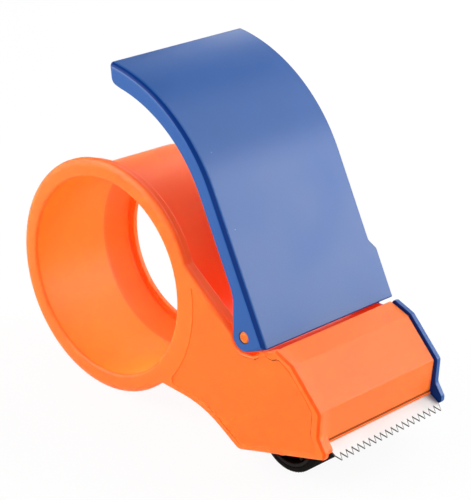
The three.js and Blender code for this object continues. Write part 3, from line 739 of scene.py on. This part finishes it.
# %% Hub
LIP_Y, DRUM_R = HUB_END - LIP_T, HUB_R - DRAFT
LIP_STEP_Y, FILLET_Y = LIP_Y + LIP_T / 2, LIP_Y - BORE_FILLET
BELL = [(36.9, 0.0), (36.3, 0.03), (35.85, 0.13), (35.5, 0.35), (35.3, 0.65), (35.2, 1.1),
        (35.15, 2.0), (35.1, 4.6)]
BELL_R, BELL_Y = BELL[-1]
hub_profile = BELL + [(BELL_R + (HUB_BORE - BELL_R) * t, BELL_Y + (FILLET_Y - BELL_Y) * t)
                      for t in (0.33, 0.66)]
hub_profile += [(HUB_BORE - (HUB_BORE - LIP_STEP_R - 0.25) * t ** 1.2, FILLET_Y + BORE_FILLET * t)
                for t in np.linspace(0, 1, 9)]
hub_profile += [
    (LIP_STEP_R, LIP_Y + 0.25), (LIP_STEP_R, LIP_STEP_Y - 0.15), (LIP_STEP_R - 0.15, LIP_STEP_Y),
    (LIP_R + 0.25, LIP_STEP_Y), (LIP_R + 0.07, LIP_STEP_Y + 0.07), (LIP_R, LIP_STEP_Y + 0.25),
    (LIP_R, HUB_END - 0.25), (LIP_R + 0.07, HUB_END - 0.07), (LIP_R + 0.25, HUB_END),
    (DRUM_R - 0.6, HUB_END), (DRUM_R - 0.18, HUB_END - 0.18), (DRUM_R, HUB_END - 0.6)]
hub_profile += [(HUB_R - DRAFT * t, SHOULDER_Y + 1.4 + (HUB_END - SHOULDER_Y - 2) * t)
                for t in (0.75, 0.5, 0.25, 0.0)]
hub_profile += [(HUB_R + 0.24, SHOULDER_Y + 0.24), (HUB_R + 0.5, CHEEK_T)]
hub = shell.lathe(hub_profile, segments=216)

# %% [markdown]
# The cheek's panel is set 0.3 mm into the face, inside a raised border that follows the rim.
# A narrow groove runs along the step, except beside the hub and low down; its faces are painted
# dark orange as shade.

# %% Recessed panel
PANEL_DEPTH, GROOVE_DEPTH, BORDER = 0.3, 0.55, 2.1
GROOVE_FROM_X, GROOVE_FROM_Z = 46, -25
# GROOVE, EDGE and LEDGE hold painted shade and BORE holds painted light; PANEL is the panel's
# matte finish.
PANEL, GROOVE, EDGE, BORE, LEDGE = range(1, 6)  # slots for the finishes beside the plain one
belly_in, heel_in = inset([belly_start, BELLY, HEEL, TOE[0]], BORDER)[1:3]
panel = [(35.0, -27.4, 1.0), belly_in, heel_in, (100.3, -26.4, 0.8), (97.2, -20.9, 2.0),
         (97.2, -13.2, 2.0), (93.4, -9.0, 6.0), (86.2, -2.5, 3.0), (81.9, -0.25, 2.0),
         (80.6, -0.35, 0.5), (78.9, -1.3, 0.5), (77.0, -1.3, 1.0), (73.9, 0.05, 0.6),
         (72.8, -2.6, 1.0), (71.1, -3.9, 1.0),
         *arc(HINGE_X, HINGE_Z, NOTCH_R + 0.75, -72, -172, 6), (55.5, 4.1, 6.0),
         (41.2, 11.2, 1.0), *arc(0, 0, 42.8, 12, -36)]
edge_line = rounded(panel)
grooved = (edge_line[:, 0] > GROOVE_FROM_X) & (edge_line[:, 1] > GROOVE_FROM_Z)
depths = np.where(grooved, GROOVE_DEPTH, PANEL_DEPTH)
step = []
for distance, depth in ((0, 0), (0.05, 0.04), (0.13, depths), (0.36, depths), (0.46, PANEL_DEPTH)):
    step.append(shell.ring(rounded(inset(panel, distance)), depth))
shell.bridge(step)
# The groove's faces get the painted shade.
in_groove = {v for ring in step[1:] for v, deep in zip(ring, grooved) if deep}
for face in shell.bm.faces:
    if in_groove.issuperset(face.verts):
        face.material_index = GROOVE
for face in shell.fill(step[-1]):
    face.material_index = PANEL
shell.fill(outer[0], hub[0], step[0])
shell.fill(outer[-1], hub[-1])
moulding = piece("orange_moulding", shell)

# %% [markdown]
# Behind the face lies the shoulder, a second layer set in by one millimetre. It closes the
# head behind the handle's ear. A shallow tray is cut into its back, because mouldings are kept
# thin so that they cool evenly.

# %% Shoulder
SET_IN, LAYER_Y, WELL_R = 1.0, CHEEK_T - 0.06, HUB_R - 0.8  # it starts inside the cheek
under_ear = [(77.6, -0.8, 0.4), (65.4, -0.6, None)]
shoulder = inset([belly_start, BELLY, HEEL, *TOE, *under_ear, EDGE_KINK, *flange_arc], SET_IN)
shell = Shell()
rings = [shell.ring(rounded(shoulder), LAYER_Y)]
for distance, before_end in SOFT_END:
    rings.append(shell.ring(rounded(inset(shoulder, distance)), SHOULDER_Y - before_end))
shell.bridge(rings)
well = shell.lathe([(WELL_R, LAYER_Y), (WELL_R, SHOULDER_Y)])
shell.fill(rings[0], well[0])
shell.fill(rings[-1], well[-1])
shoulder_layer = piece("shoulder_layer", shell)

TRAY = [(42.4, -25.2, 1), (49.4, -26.8, 42), (66.4, -36.1, 2), (99.0, -25.9, 1.5), (96.7, -19, 1),
        (96.7, -14, 1), (85.8, -3.6, 1), (79.6, -1.4, 0.5), (77.6, -3.4, 0.5), (64.8, -3.4, 1),
        (42.4, 11, 1)]
tray = plate("tray", TRAY, CHEEK_T + 0.02, SHOULDER_Y + 1, 0.5, 0.1)
combine(shoulder_layer, [tray], "DIFFERENCE")

# %% [markdown]
# The hood is one bent wall. Near the cheek it rises in a hollow curve to meet the rim, so
# its first sections blend from the rim's outline to the hood's own.

# %% Hood
WALL = 2.2
BLADE_DROP = 28.0
STEP_CORNERS = [(69.4, -3.6, None), (70.6, -1.1, 0.6), (77.9, -1.1, 0.4)]
HOOD = [*STEP_CORNERS, (78.6, 1.65, 0.5), (86.7, -1.0, 1.2), (99.2, -12.85, 1.2),
        (98.907, -21.3, 2.0), (98.8, -24.4, 0.2)]
RIM = [*STEP_CORNERS, (79.2, 1.85, 0.8), (87.0, -0.8, 1.6), (99.75, -12.75, 1.6),
       (99.75, -21.3, 2.2), (101.9, -24.1, 0.4)]


def hood_section(share, cut=0.0):
    """The hood's wall between the rim's outline (0) and its own (1), inset by a cut."""
    outside = [tuple(None if p is None else p + (q - p) * share for p, q in zip(a, b))
               for a, b in zip(RIM[::-1], HOOD[::-1])]
    inside = inset(HOOD[::-1], WALL, closed=False)
    lip = HOOD[-1]
    inside[0] = (lip[0] - WALL, lip[1] + WALL * math.tan(math.radians(BLADE_DROP)), None)
    return rounded(inset(outside + inside[::-1], cut), TURNS)


shell = Shell()
BAND_START, BAND_END, HOOD_END = CHEEK_T - 0.05, 7.6, HEAD_END - 0.15
rings = [shell.ring(hood_section(1 - (1 - u) ** 2), BAND_START + (BAND_END - BAND_START) * u)
         for u in np.linspace(0, 1, 9)]
for distance, before_end in SOFT_END:
    rings.append(shell.ring(hood_section(1.0, distance), HOOD_END - before_end))
shell.bridge(rings)
shell.ends(rings)
hood = piece("hood", shell)

# %% Posts, lug and boss
POSTS, POST_R, LUG_R, BOSS_R = [(75.6, -5.0), (94.0, -13.2), (66.3, -33.2)], 3.2, 4.3, 4.6
posts = [pin("post", POST_R, CHEEK_T - 0.5, HEAD_END, x, z) for x, z in POSTS]
lug = pin("lug", LUG_R, CHEEK_T, SHOULDER_Y - 0.01, HINGE_X, HINGE_Z, 0.1, 64)
boss = pin("boss", BOSS_R, CHEEK_T - 0.5, SHOULDER_Y + 0.4, ROLLER_X, AXLE_Z, 0.2, 64)
combine(moulding, [shoulder_layer, hood, *posts, lug, boss])

# %% [markdown]
# Three low bumps near the hub's free end grip the tape's core. Each is a short wedge that fades
# out at both ends. One is drawn, and the repeat group turns it round the hub.

# %% Bumps on the hub
BUMPS, BUMP_AT, BUMP_HALF, BUMP_FADE = 3, 60, math.degrees(6.0 / HUB_R), 1.6  # in degrees
BUMP_ROOT, BUMP_LOW, BUMP_RISE = HUB_R - 1.5, HUB_R - 1.2, 2.3
rings = []
for angle in np.linspace(-BUMP_HALF, BUMP_HALF, 17):
    rise = min(1.0, (BUMP_HALF - abs(angle)) / BUMP_FADE) ** 0.5
    crest = BUMP_LOW + BUMP_RISE * rise
    foot = min(crest, HUB_R - 0.52)
    c, s = math.cos(math.radians(BUMP_AT + angle)), math.sin(math.radians(BUMP_AT + angle))
    wedge = [(BUMP_ROOT, 3.7), (foot, 3.7), (crest - 0.12, 1.95), (crest, 1.75), (crest, 1.5),
             (crest - 0.12, 1.35), (foot, 0.9), (BUMP_ROOT, 0.9)]
    rings.append([(r * c, HUB_END - before_end, r * s) for r, before_end in wedge])
bumps = repeated("bumps", centred(block("bump", rings), 0, 0, 0), BUMPS, at(0, 0, 0),
                 turn=2 * math.pi / BUMPS, material=ORANGE)
combine(moulding, [bumps])

# %% Hinge and axle holes
PIN_R, AXLE_HOLE_R, PILOT_R, PILOT_DEPTH = 1.93, 2.08, 1.38, 11
holes = [hole(PIN_R + 0.06, 2.4, 7, HINGE_X, HINGE_Z), hole(AXLE_HOLE_R, 2.8, 7, ROLLER_X, AXLE_Z)]
holes += [hole(PILOT_R, HEAD_END - PILOT_DEPTH, HEAD_END + 1, x, z) for x, z in POSTS]
combine(moulding, holes, "DIFFERENCE")
soften(moulding, 32)
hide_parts("main_frame")
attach(moulding, "body")


def on_ledge(c, n):
    """The ledge under the handle's foot, painted dark red as shade."""
    return 68 < c.x < 78.4 and c.y > 4 and -4.5 < c.z < 1.2


def on_rim(c, n):
    """The turned edge of the cheek along the head, which faces forwards; painted a darker orange
    as shade.
    """
    return c.x > 72 and c.y < 7.7 and -0.96 < n.y < -0.08 and n.x > 0.15


def in_bore(c, n):
    """The bore from behind the bell to the inner fillet, painted a lighter orange as light: it
    faces the hub's axis.
    """
    return (1.1 < c.y < FILLET_Y and math.hypot(c.x, c.z) < BELL_R + 0.2
            and c.x * n.x + c.z * n.z < 0)


repaint(moulding, LEDGE, on_ledge)
repaint(moulding, EDGE, on_rim)
repaint(moulding, BORE, in_bore)
dress(moulding, ORANGE, ORANGE_PANEL, ORANGE_SHADE, ORANGE_RIM_SHADE, ORANGE_BORE_LIT, ORANGE_LEDGE_SHADE)

# %% [markdown]
# ## Blade and bar
#
# The bar fills the corner behind the hood's front wall, and its thin lip shows below the wall.
# The blade is a stamped strip under the bar, held by three screws from below. It is drawn in
# its own tilted frame: `down` runs towards the teeth and `rise` is square to the strip.

# %% Bar
BLADE_ROOT, BLADE_T, BLADE_BACK = (102.8, -27.83), 0.6, 8.95
BLADE_NEAR, BLADE_FAR, BAR_T, BAR_RISE, GAP = 5.95, 59.35, 2.0, 3.6, 0.3
LIP_OUT, LIP_GAP = 0.25, 0.38
TILT_COS, TILT_SIN = math.cos(math.radians(BLADE_DROP)), math.sin(math.radians(BLADE_DROP))


def on_blade(down, rise):
    """A point of the blade's tilted frame as (x, z)."""
    return (BLADE_ROOT[0] + down * TILT_COS + rise * TILT_SIN,
            BLADE_ROOT[1] - down * TILT_SIN + rise * TILT_COS)


def above_blade(x, rise=0.1):
    """The height of the blade's upper face at x, plus a small lift."""
    return BLADE_ROOT[1] + (BLADE_ROOT[0] - x) * TILT_SIN / TILT_COS + rise


lip_x, lip_top = HOOD[-1][0] + LIP_OUT, HOOD[-1][1] - LIP_GAP
wall_x = HOOD[-1][0] - WALL - GAP
bar_back = wall_x - BAR_T
bar_outline = [(lip_x, above_blade(lip_x), 0.15), (lip_x, lip_top, 0.15),
               (wall_x, lip_top + (lip_x - wall_x) * TILT_SIN / TILT_COS, 0.1),
               (wall_x, above_blade(bar_back) + BAR_RISE, 0.3),
               (bar_back, above_blade(bar_back) + BAR_RISE, 0.3),
               (bar_back, above_blade(bar_back), 0.1)]
bar = plate("blade_bar_moulding", bar_outline, BLADE_NEAR, BLADE_FAR - 0.2, 0.2, 0.2, 4, 3)

# %% Blade, its teeth and its screws
TEETH, TOOTH, TOOTH_ROOT, BEVEL, TOOTH_BEVEL, OVERLAP = 19, 2.62, 0.5, 0.1, 0.3, 0.06
pitch = (BLADE_FAR - BLADE_NEAR) / TEETH


def strip(name, outline, bevel):
    """A flat strip on the blade from a plan of (down, y), with its upper edge bevelled."""
    rings = []
    for distance, rise in ((0.02, -BLADE_T), (0.0, -BLADE_T + 0.02), (0.0, -BEVEL), (bevel, 0.0)):
        ring = [(on_blade(down, rise), y)
                for down, y, _ in inset([(u, y, None) for u, y in outline], distance)]
        rings.append([(x, y, z) for (x, z), y in ring])
    return block(name, rings)


tooth_x, tooth_z = on_blade(0, 0)
tooth = strip("tooth", [(down, BLADE_NEAR + y) for down, y in (
    (-TOOTH_ROOT, 0.3), (0.0, 0.0), (TOOTH, pitch / 2), (0.0, pitch),
    (-TOOTH_ROOT, pitch - 0.3))], TOOTH_BEVEL)
teeth = repeated("teeth", centred(tooth, tooth_x, BLADE_NEAR, tooth_z), TEETH,
                 at(tooth_x, BLADE_NEAR, tooth_z), step=(0, pitch * MM, 0), material=BLADE_STEEL)
blade = strip("blade_strip", [(-BLADE_BACK, BLADE_NEAR), (OVERLAP, BLADE_NEAR),
                              (OVERLAP, BLADE_FAR), (-BLADE_BACK, BLADE_FAR)], BEVEL)
combine(blade, [teeth])
SCREW_BACK, SCREW_YS, BLADE_HOLE_R, BAR_HOLE_R = 6.6, (15.4, 32.65, 49.9), 0.96, 1.0


def tilted_hole(radius, y, low, high):
    """A round pin square to the blade, on its screws' line, to cut a hole with."""
    rings = []
    for rise in (low, high):
        ring = [(on_blade(radius * math.cos(a) - SCREW_BACK, rise), y + radius * math.sin(a))
                for a in np.linspace(0, 2 * math.pi, 32, endpoint=False)]
        rings.append([(x, y, z) for (x, z), y in ring])
    return block("hole", rings)


combine(blade, [tilted_hole(BLADE_HOLE_R, y, -1.5, 1.0) for y in SCREW_YS], "DIFFERENCE")
combine(bar, [tilted_hole(BAR_HOLE_R, y, -1.5, 3.35) for y in SCREW_YS], "DIFFERENCE")
soften(bar, 35)
soften(blade, 20)
FLAT, FLAT_FAR = 0.9, 0.99  # the near ground edge stays bright; the far one and the cut flanks are painted dark as shade
for face in blade.data.polygons:
    rise = face.normal.x * TILT_SIN + face.normal.z * TILT_COS
    face.material_index = int(abs(rise) <= (FLAT_FAR if face.normal.y > 0.1 else FLAT))
for obj, node, slot_name in ((bar, "blade_bar", "orange_plastic"),
                             (blade, "blade", "blade_steel")):
    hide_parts(node)
    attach(obj, "body")
# The lip's top lies in the shade of the hood's wall.
repaint(bar, 1, lambda c, n: n.z > 0.6 and c.x > wall_x - 0.2 and c.z < lip_top + 1.5)
dress(bar, ORANGE, ORANGE_SHADE)
dress(blade, BLADE_STEEL, STEEL_SHADE)

# %% [markdown]
# ## The side plate
#
# The far cheek of the head is a separate blue plate, screwed to the hood's posts. Its lug
# carries the far end of the hinge. A flat outline with soft edges is enough for it, with the
# round lug and boss joined on.

# %% Side plate
PLATE_IN, PLATE_OUT, SCREW_HOLE_R = 59.6, 61.8, 1.46
side_outline = [HEEL, *TOE, (77.4, -1.6, 1.0), (72.4, -2.3, 1.0),
                *arc(HINGE_X, HINGE_Z, LUG_R, -40, 180, 5)]
side_plate = plate("side_plate_moulding", side_outline, PLATE_IN, PLATE_OUT, 0.25, 0.6, 8, 5)
plate_lug = pin("plate_lug", LUG_R - 0.02, PLATE_IN - 2.2, PLATE_OUT - 0.4,
                HINGE_X, HINGE_Z, 0.2, 64)
plate_boss = pin("plate_boss", BOSS_R, PLATE_IN - 0.4, PLATE_OUT - 0.5, ROLLER_X, AXLE_Z, 0.1, 64)
combine(side_plate, [plate_lug, plate_boss])
plate_holes = [hole(PIN_R + 0.06, PLATE_IN - 1.4, PLATE_OUT + 1, HINGE_X, HINGE_Z),
               hole(AXLE_HOLE_R, PLATE_IN - 1.6, PLATE_OUT + 1, ROLLER_X, AXLE_Z)]
plate_holes += [hole(SCREW_HOLE_R, PLATE_IN - 1, PLATE_OUT + 1, x, z) for x, z in POSTS]
combine(side_plate, plate_holes, "DIFFERENCE")
soften(side_plate, 32)
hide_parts("side_plate")
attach(side_plate, "body")
# The inner face lies in the shade of the hood.
repaint(side_plate, 1, lambda c, n: n.y < -0.3 and c.y > 59)
dress(side_plate, BLUE, BLUE_SHADE)

# %% [markdown]
# ## The handle
#
# The handle is a channel: an outer wall, two side flanges that grow into ears at the hinge,
# a closed tip and three ribs. Its side view is one outline. The near side has a broad fillet
# where the outer wall turns into the flange, and a small one everywhere else. The tip's
# corners are round, which needs longer straight parts beside them. It could be a thin sheet
# made thick, but a hollow cut out of a solid lets wall, flanges and ears differ in thickness.

# %% Handle outline
LEAN, OFFSET, STRAIGHT, FOOT_DROP = math.radians(120.1), 7.23, 53.4, 5.8
BEND_R, SWEEP, WALL_T = 62.0, 56.3, 2.3
FLANGE_DEPTH, FLANGE_BEND_R, FLANGE_START = 5.9, 53.0, 19.9
ALONG = np.array((math.cos(LEAN), math.sin(LEAN)))
OUT = np.array((ALONG[1], -ALONG[0]))
FOOT = np.array((HINGE_X, HINGE_Z)) + OUT * OFFSET - ALONG * FOOT_DROP
EAR_OUT = 64.3


def handle_line(depth, bend_r, start=0.0, sweep=SWEEP, step=1.6):
    """Corners at a depth inside the outer face, from a height above the foot to the tip."""
    first = FOOT + ALONG * start - OUT * depth
    centre = FOOT + ALONG * STRAIGHT - OUT * (depth + bend_r)
    lean = math.degrees(LEAN) - 90
    return [(*first, None), *arc(*centre, bend_r, lean, lean + sweep, step)]


CLEAR = 0.03  # keeps the piece inside the solid's box
outer_line = handle_line(CLEAR, BEND_R - CLEAR)
free_edge = handle_line(FLANGE_DEPTH, FLANGE_BEND_R, FLANGE_START)[::-1]
del outer_line[-2], free_edge[1:3]
for line, end, radius in ((outer_line, 0, 0.5), (outer_line, -1, 1.9), (free_edge, 0, 3.2),
                          (free_edge, -1, 12.0)):
    line[end] = (*line[end][:2], radius)
ear = arc(HINGE_X, HINGE_Z, EAR_R, 176, 295, 5)
side_view = [*outer_line, *free_edge, *ear]
BROAD, TIP_EDGE, FINE = 1.9, 1.2, 0.45
edge_radius = np.array([BROAD] * len(outer_line) + [TIP_EDGE]
                       + [FINE] * (len(free_edge) - 1 + len(ear)))
print("handle: tip at", [round(float(v), 2) for v in outer_line[-1][:2]])

# %% Handle block, its side step and its hollow
shell = Shell()
rings = []
point_radius = spread(edge_radius, side_view, TURNS)
for k in range(TURNS + 1):
    a = math.pi / 2 * k / TURNS
    points = rounded(inset(side_view, edge_radius * (1 - math.sin(a))), TURNS)
    rings.append(shell.ring(points, point_radius * (1 - math.cos(a))))
for y in (BROAD + 0.1, 20, 40, EAR_OUT):
    rings.append(shell.ring(rounded(side_view, TURNS), y))
shell.bridge(rings)
shell.ends(rings)
handle = piece("handle_moulding", shell)


def front_block(name, corners):
    """A block through the handle; its front view is given as (height above the foot, y)."""
    rings = []
    for depth in (-10, 110):
        places = [(FOOT + ALONG * height - OUT * depth, y) for height, y in corners]
        rings.append([(place[0], y, place[1]) for place, y in places])
    return block(name, rings)


STEP_BOTTOM, STEP_TOP, EAR_T, EAR_IN = 17.6, 21.1, 2.2, 62.1
BELOW, ABOVE, STEP_WALL = -20, 120, 0.8  # heights clear of the handle, and a wall's slant
wide = front_block("wide", rounded([
    (BELOW, -1, None), (ABOVE, -1, None), (ABOVE, PLATE_OUT, None), (STEP_TOP, PLATE_OUT, 2.4),
    (STEP_BOTTOM, EAR_OUT - 0.01, 1.6), (BELOW, EAR_OUT - 0.01, None)]))
combine(handle, [wide], "INTERSECT")
hollow = front_block("hollow", [
    (BELOW, EAR_T), (ABOVE, EAR_T), (ABOVE, PLATE_IN), (STEP_TOP - STEP_WALL, PLATE_IN),
    (STEP_BOTTOM - STEP_WALL, EAR_IN), (BELOW, EAR_IN)])
tip_wall = math.degrees(WALL_T / BEND_R)
under = handle_line(WALL_T, BEND_R - WALL_T, -5, SWEEP - tip_wall)
beyond = 2 * OFFSET
open_side = handle_line(beyond, FLANGE_BEND_R + FLANGE_DEPTH - beyond, -5, SWEEP - tip_wall)
channel = plate("channel", under + open_side[::-1], -1, EAR_OUT + 1, 0.1, 0.1, 2, 1)
combine(channel, [hollow], "INTERSECT")
combine(handle, [channel], "DIFFERENCE")

# %% Ribs across the hollow, and the hinge hole
RIB_T, RIB_DEPTH, RIBS = 1.6, 3.2, 3
rib_line = handle_line(WALL_T - 0.3, BEND_R - WALL_T + 0.3, step=4.2)
ribs = []
for i in range(RIBS):
    k = round((i + 1) * (len(rib_line) - 1) / (RIBS + 1))
    base = np.array(rib_line[k][:2])
    along = np.array(rib_line[k + 1][:2]) - base
    along *= RIB_T / np.linalg.norm(along)
    inwards = np.array((-along[1], along[0])) * RIB_DEPTH / RIB_T
    corners = [base, base + along, base + along + inwards, base + inwards]
    ribs.append(plate(f"rib_{i}", [(c[0], c[1], 0.2) for c in corners], EAR_T - 0.5,
                      PLATE_IN + 0.5, 0.05, 0.05, 3, 1))
combine(handle, ribs)
combine(handle, [hole(PIN_R + 0.22, -1, EAR_OUT + 1, HINGE_X, HINGE_Z, 64)], "DIFFERENCE")
soften(handle, 30)
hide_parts("handle_shell")
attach(handle, "handle")


def on_broad_edge(c, n):
    """The near fillet between the outer wall and the flange, painted darker blue as a dark
    reflection and shade.
    """
    return c.y < BROAD and -0.93 < n.y < -0.3 and 0.5 * n.x + 0.866 * n.z > 0.2


def under_foot(c, n):
    """The foot's lower edge, painted darker blue as shade."""
    return c.y > BROAD + 1 and n.x * ALONG[0] + n.z * ALONG[1] < -0.35


repaint(handle, 1, on_broad_edge)
repaint(handle, 1, under_foot)
dress(handle, BLUE, BLUE_SHADE)

# %% [markdown]
# ## Pins and roller
#
# Two short pins hold the handle: an orange one near, a blue one far. The roller is a black
# wheel with spokes inside a rubber tyre with fine ribs, on a steel axle. Its round parts are
# turned from profiles, and the repeat group adds the spokes and the ribs.

# %% Hinge pins
pin_near = pin("pin_near", PIN_R, 0.15, SHOULDER_Y - 0.1, HINGE_X, HINGE_Z, 0.3, 64)
pin_far = pin("pin_far", PIN_R, PLATE_IN - 1.2, EAR_OUT - 0.15, HINGE_X, HINGE_Z, 0.3, 64)
for obj, node, slot_name in ((pin_near, "hinge_pin_near", "orange_plastic"),
                             (pin_far, "hinge_pin_far", "blue_plastic")):
    soften(obj, 40)
    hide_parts(node)
    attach(obj, "body")
    dress(obj, FINISH[slot_name])

# %% Roller
ROLLER_R, ROLLER_Y, ROLLER_END, TYRE_T, RIM_T, SPOKES = 12.2, 6.7, 58.5, 1.9, 1.3, 5
TYRE_DROP, RIB_COUNT = 0.23, 64
WEB_NEAR, WEB_FAR, WEB_R = 31.1, 34.1, 2.16
BARREL_R, SEAT_R, SEAT_DEPTH, SPOKE_HALF, SPOKE_END = 4.2, 3.18, 6.3, 0.7, 8.5
axle_point = at(ROLLER_X, 0, AXLE_Z)


def wheel(name, corners, segments=128):
    """A ring round the roller's axle; its profile's corners (radius, y, cut) are cut off."""
    shell = Shell()
    rings = shell.lathe(rounded(corners, 1), ROLLER_X, AXLE_Z, segments)
    shell.bridge([rings[-1], rings[0]])
    return piece(name, shell)


tyre_out, tyre_in = ROLLER_R - TYRE_DROP, ROLLER_R - TYRE_T + 0.1
tyre = wheel("tyre", [(tyre_in, ROLLER_Y, None), (tyre_out, ROLLER_Y, 0.3),
                      (tyre_out, ROLLER_END, 0.3), (tyre_in, ROLLER_END, None)])
rib_shape = [(-0.36, -0.3, 0.05), (0.36, -0.3, 0.05), (0.22, 0.22, 0.14), (-0.22, 0.22, 0.14)]
rib = plate("tyre_rib", [(ROLLER_X + x, AXLE_Z + tyre_out + z, r) for x, z, r in rib_shape],
            ROLLER_Y + 0.4, ROLLER_END - 0.4, 0.1, 0.1, 3, 1)
tyre_ribs = repeated("tyre_ribs", centred(rib, ROLLER_X, 0, AXLE_Z), RIB_COUNT, axle_point,
                     turn=2 * math.pi / RIB_COUNT)
core_out = ROLLER_R - TYRE_T
core_in = core_out - RIM_T
core = wheel("roller_wheel", [
    (core_in, ROLLER_Y, 0.2), (core_out, ROLLER_Y, 0.2), (core_out, ROLLER_END, 0.2),
    (core_in, ROLLER_END, 0.2), (core_in, WEB_FAR, None), (WEB_R, WEB_FAR, None),
    (WEB_R, WEB_NEAR, None), (core_in, WEB_NEAR, None)])
seat_near, seat_far = ROLLER_Y + SEAT_DEPTH, ROLLER_END - SEAT_DEPTH
barrel = wheel("roller_barrel", [
    (SEAT_R, ROLLER_Y, None), (BARREL_R, ROLLER_Y, 0.2), (BARREL_R, ROLLER_END, 0.2),
    (SEAT_R, ROLLER_END, None), (SEAT_R, seat_far, None), (WEB_R, seat_far, None),
    (WEB_R, seat_near, None), (SEAT_R, seat_near, None)], 64)
spoke = plate("spoke", [(ROLLER_X + side * SPOKE_HALF, AXLE_Z + z, 0.1) for side, z in (
    (-1, BARREL_R - 0.2), (1, BARREL_R - 0.2), (1, SPOKE_END), (-1, SPOKE_END))],
              ROLLER_Y + 1.2, ROLLER_END - 1.2, 0.2, 0.2, 2, 2)
spokes = repeated("roller_spokes", centred(spoke, ROLLER_X, 0, AXLE_Z), SPOKES, axle_point,
                  turn=2 * math.pi / SPOKES)
for obj, node, slot_name in (
        (tyre, "roller_tyre", "black_rubber"), (tyre_ribs, "roller_tyre", "black_rubber"),
        (core, "roller_core", "black_plastic"), (barrel, "roller_core", "black_plastic"),
        (spokes, "roller_core", "black_plastic")):
    soften(obj, 35)
    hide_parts(node)
    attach(obj, "roller")
    dress(obj, FINISH[slot_name])

# %% [markdown]
# ## Screws and axle
#
# All the screws share one shape: a domed head with a tapered cross recess over a ribbed shank.
# The ridges are rings, not a true thread, since they are hidden in the posts. The axle is a
# steel rod held by a spring clip in a groove, and carries two nylon washers and two bushes.

# %% Screws
def screw(name, head_r, head_h, shank_r, shank_l):
    """A screw about the origin, its head towards +Y, in metres."""
    profile = [(0.25 * shank_r, -shank_l), (shank_r, -shank_l + shank_r)]
    ridges = int((shank_l - 2 * shank_r) / (0.7 * shank_r))
    for i in range(ridges):
        y = -shank_l + 1.3 * shank_r + 0.7 * shank_r * i
        profile += [(0.78 * shank_r, y), (shank_r, y + 0.35 * shank_r)]
    profile += [(shank_r, -0.05), (shank_r, 0.08), (head_r - 0.1, 0.08), (head_r, 0.18),
                (head_r, 0.35 * head_h), (0.93 * head_r, 0.62 * head_h),
                (0.75 * head_r, 0.86 * head_h), (0.45 * head_r, 0.98 * head_h),
                (0.1 * head_r, head_h)]
    made = turned(name, profile, segments=32)
    arms = []
    for across in (True, False):  # the arms of the cross, which taper towards their floor
        rings = []
        for share, y in ((0.5, 0.35 * head_h), (1.0, head_h + 0.2)):
            wide, thick = 0.62 * head_r * share, 0.13 * head_r
            if not across:
                wide, thick = thick, wide
            rings.append([(wide * p, y, thick * q)
                          for p, q in ((-1, -1), (1, -1), (1, 1), (-1, 1))])
        arms.append(block("arm", rings))
    combine(made, arms, "DIFFERENCE")
    return centred(made, 0, 0, 0)


plate_screw = screw("plate_screw", 2.68, 1.48, 1.28, 10.9)
plate_screws = placed("plate_screws", plate_screw, [at(x, PLATE_OUT, z) for x, z in POSTS],
                      BRIGHT_STEEL)
blade_screw = screw("blade_screw", 1.58, 0.78, 0.83, 3.6)
tilt = Matrix(((TILT_COS, -TILT_SIN, 0), (0, 0, 1), (-TILT_SIN, -TILT_COS, 0))).to_4x4()
blade_screw.data.transform(tilt)
screw_x, screw_z = on_blade(-SCREW_BACK, -BLADE_T)
screw_step = (0, (SCREW_YS[1] - SCREW_YS[0]) * MM, 0)
blade_screws = repeated("blade_screws", blade_screw, len(SCREW_YS),
                        at(screw_x, SCREW_YS[0], screw_z), step=screw_step,
                        material=BRIGHT_STEEL)

# %% Axle, clip and washers
AXLE_R, AXLE_IN, AXLE_END, CLIP_Y, CLIP_T, CLIP_R = 1.98, 3.12, 63.45, 62.0, 0.58, 3.5
GROOVE_R = AXLE_R - 0.5
axle = turned("axle", [
    (AXLE_R - 0.35, AXLE_IN), (AXLE_R, AXLE_IN + 0.35), (AXLE_R, CLIP_Y - 0.12),
    (AXLE_R - 0.05, CLIP_Y - 0.08), (GROOVE_R, CLIP_Y - 0.08), (GROOVE_R, CLIP_Y + CLIP_T + 0.1),
    (AXLE_R - 0.05, CLIP_Y + CLIP_T + 0.1), (AXLE_R, CLIP_Y + CLIP_T + 0.14),
    (AXLE_R, AXLE_END - 0.35), (AXLE_R - 0.1, AXLE_END - 0.15), (AXLE_R - 0.35, AXLE_END)],
              ROLLER_X, AXLE_Z)
clip_outline = [*arc(ROLLER_X, AXLE_Z, CLIP_R - 0.02, -69, 249, 6),
                *arc(ROLLER_X, AXLE_Z, GROOVE_R + 0.1, 229, -49, 6)]
clip = plate("clip", clip_outline, CLIP_Y, CLIP_Y + CLIP_T, 0.08, 0.08, 1, 2)


def washer(name, outer, inner, near, far, edge=0.08):
    """A flat ring with softened edges round the axle."""
    return wheel(name, [(inner, near, edge), (outer, near, edge), (outer, far, edge),
                        (inner, far, edge)], 64)


WASHER_R, BUSH_R, BUSH_L, RING_IN = 3.98, 3.08, 6.0, 2.08
washers = [washer("washer_near", WASHER_R, RING_IN, 6.12, 6.58),
           washer("washer_far", WASHER_R, RING_IN, 58.62, 59.08)]
bushes = [washer("bush_near", BUSH_R, RING_IN, ROLLER_Y + 0.02, ROLLER_Y + BUSH_L, 0.12),
          washer("bush_far", BUSH_R, RING_IN, ROLLER_END - BUSH_L, ROLLER_END - 0.02, 0.12)]
for obj, nodes, body, slot_name in (
        (plate_screws, [f"side_plate_screw_{i}" for i in (1, 2, 3)], "body", "bright_steel"),
        (blade_screws, [f"blade_screw_{i}" for i in (1, 2, 3)], "body", "bright_steel"),
        (axle, ["roller_axle"], "body", "bright_steel"),
        (clip, ["axle_clip"], "body", "bright_steel"),
        (washers[0], ["roller_washer_near"], "body", "nylon"),
        (washers[1], ["roller_washer_far"], "body", "nylon"),
        (bushes[0], ["roller_bush_near"], "roller", "nylon"),
        (bushes[1], ["roller_bush_far"], "roller", "nylon")):
    soften(obj, 35)
    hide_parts(*nodes)
    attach(obj, body)
    dress(obj, FINISH[slot_name])
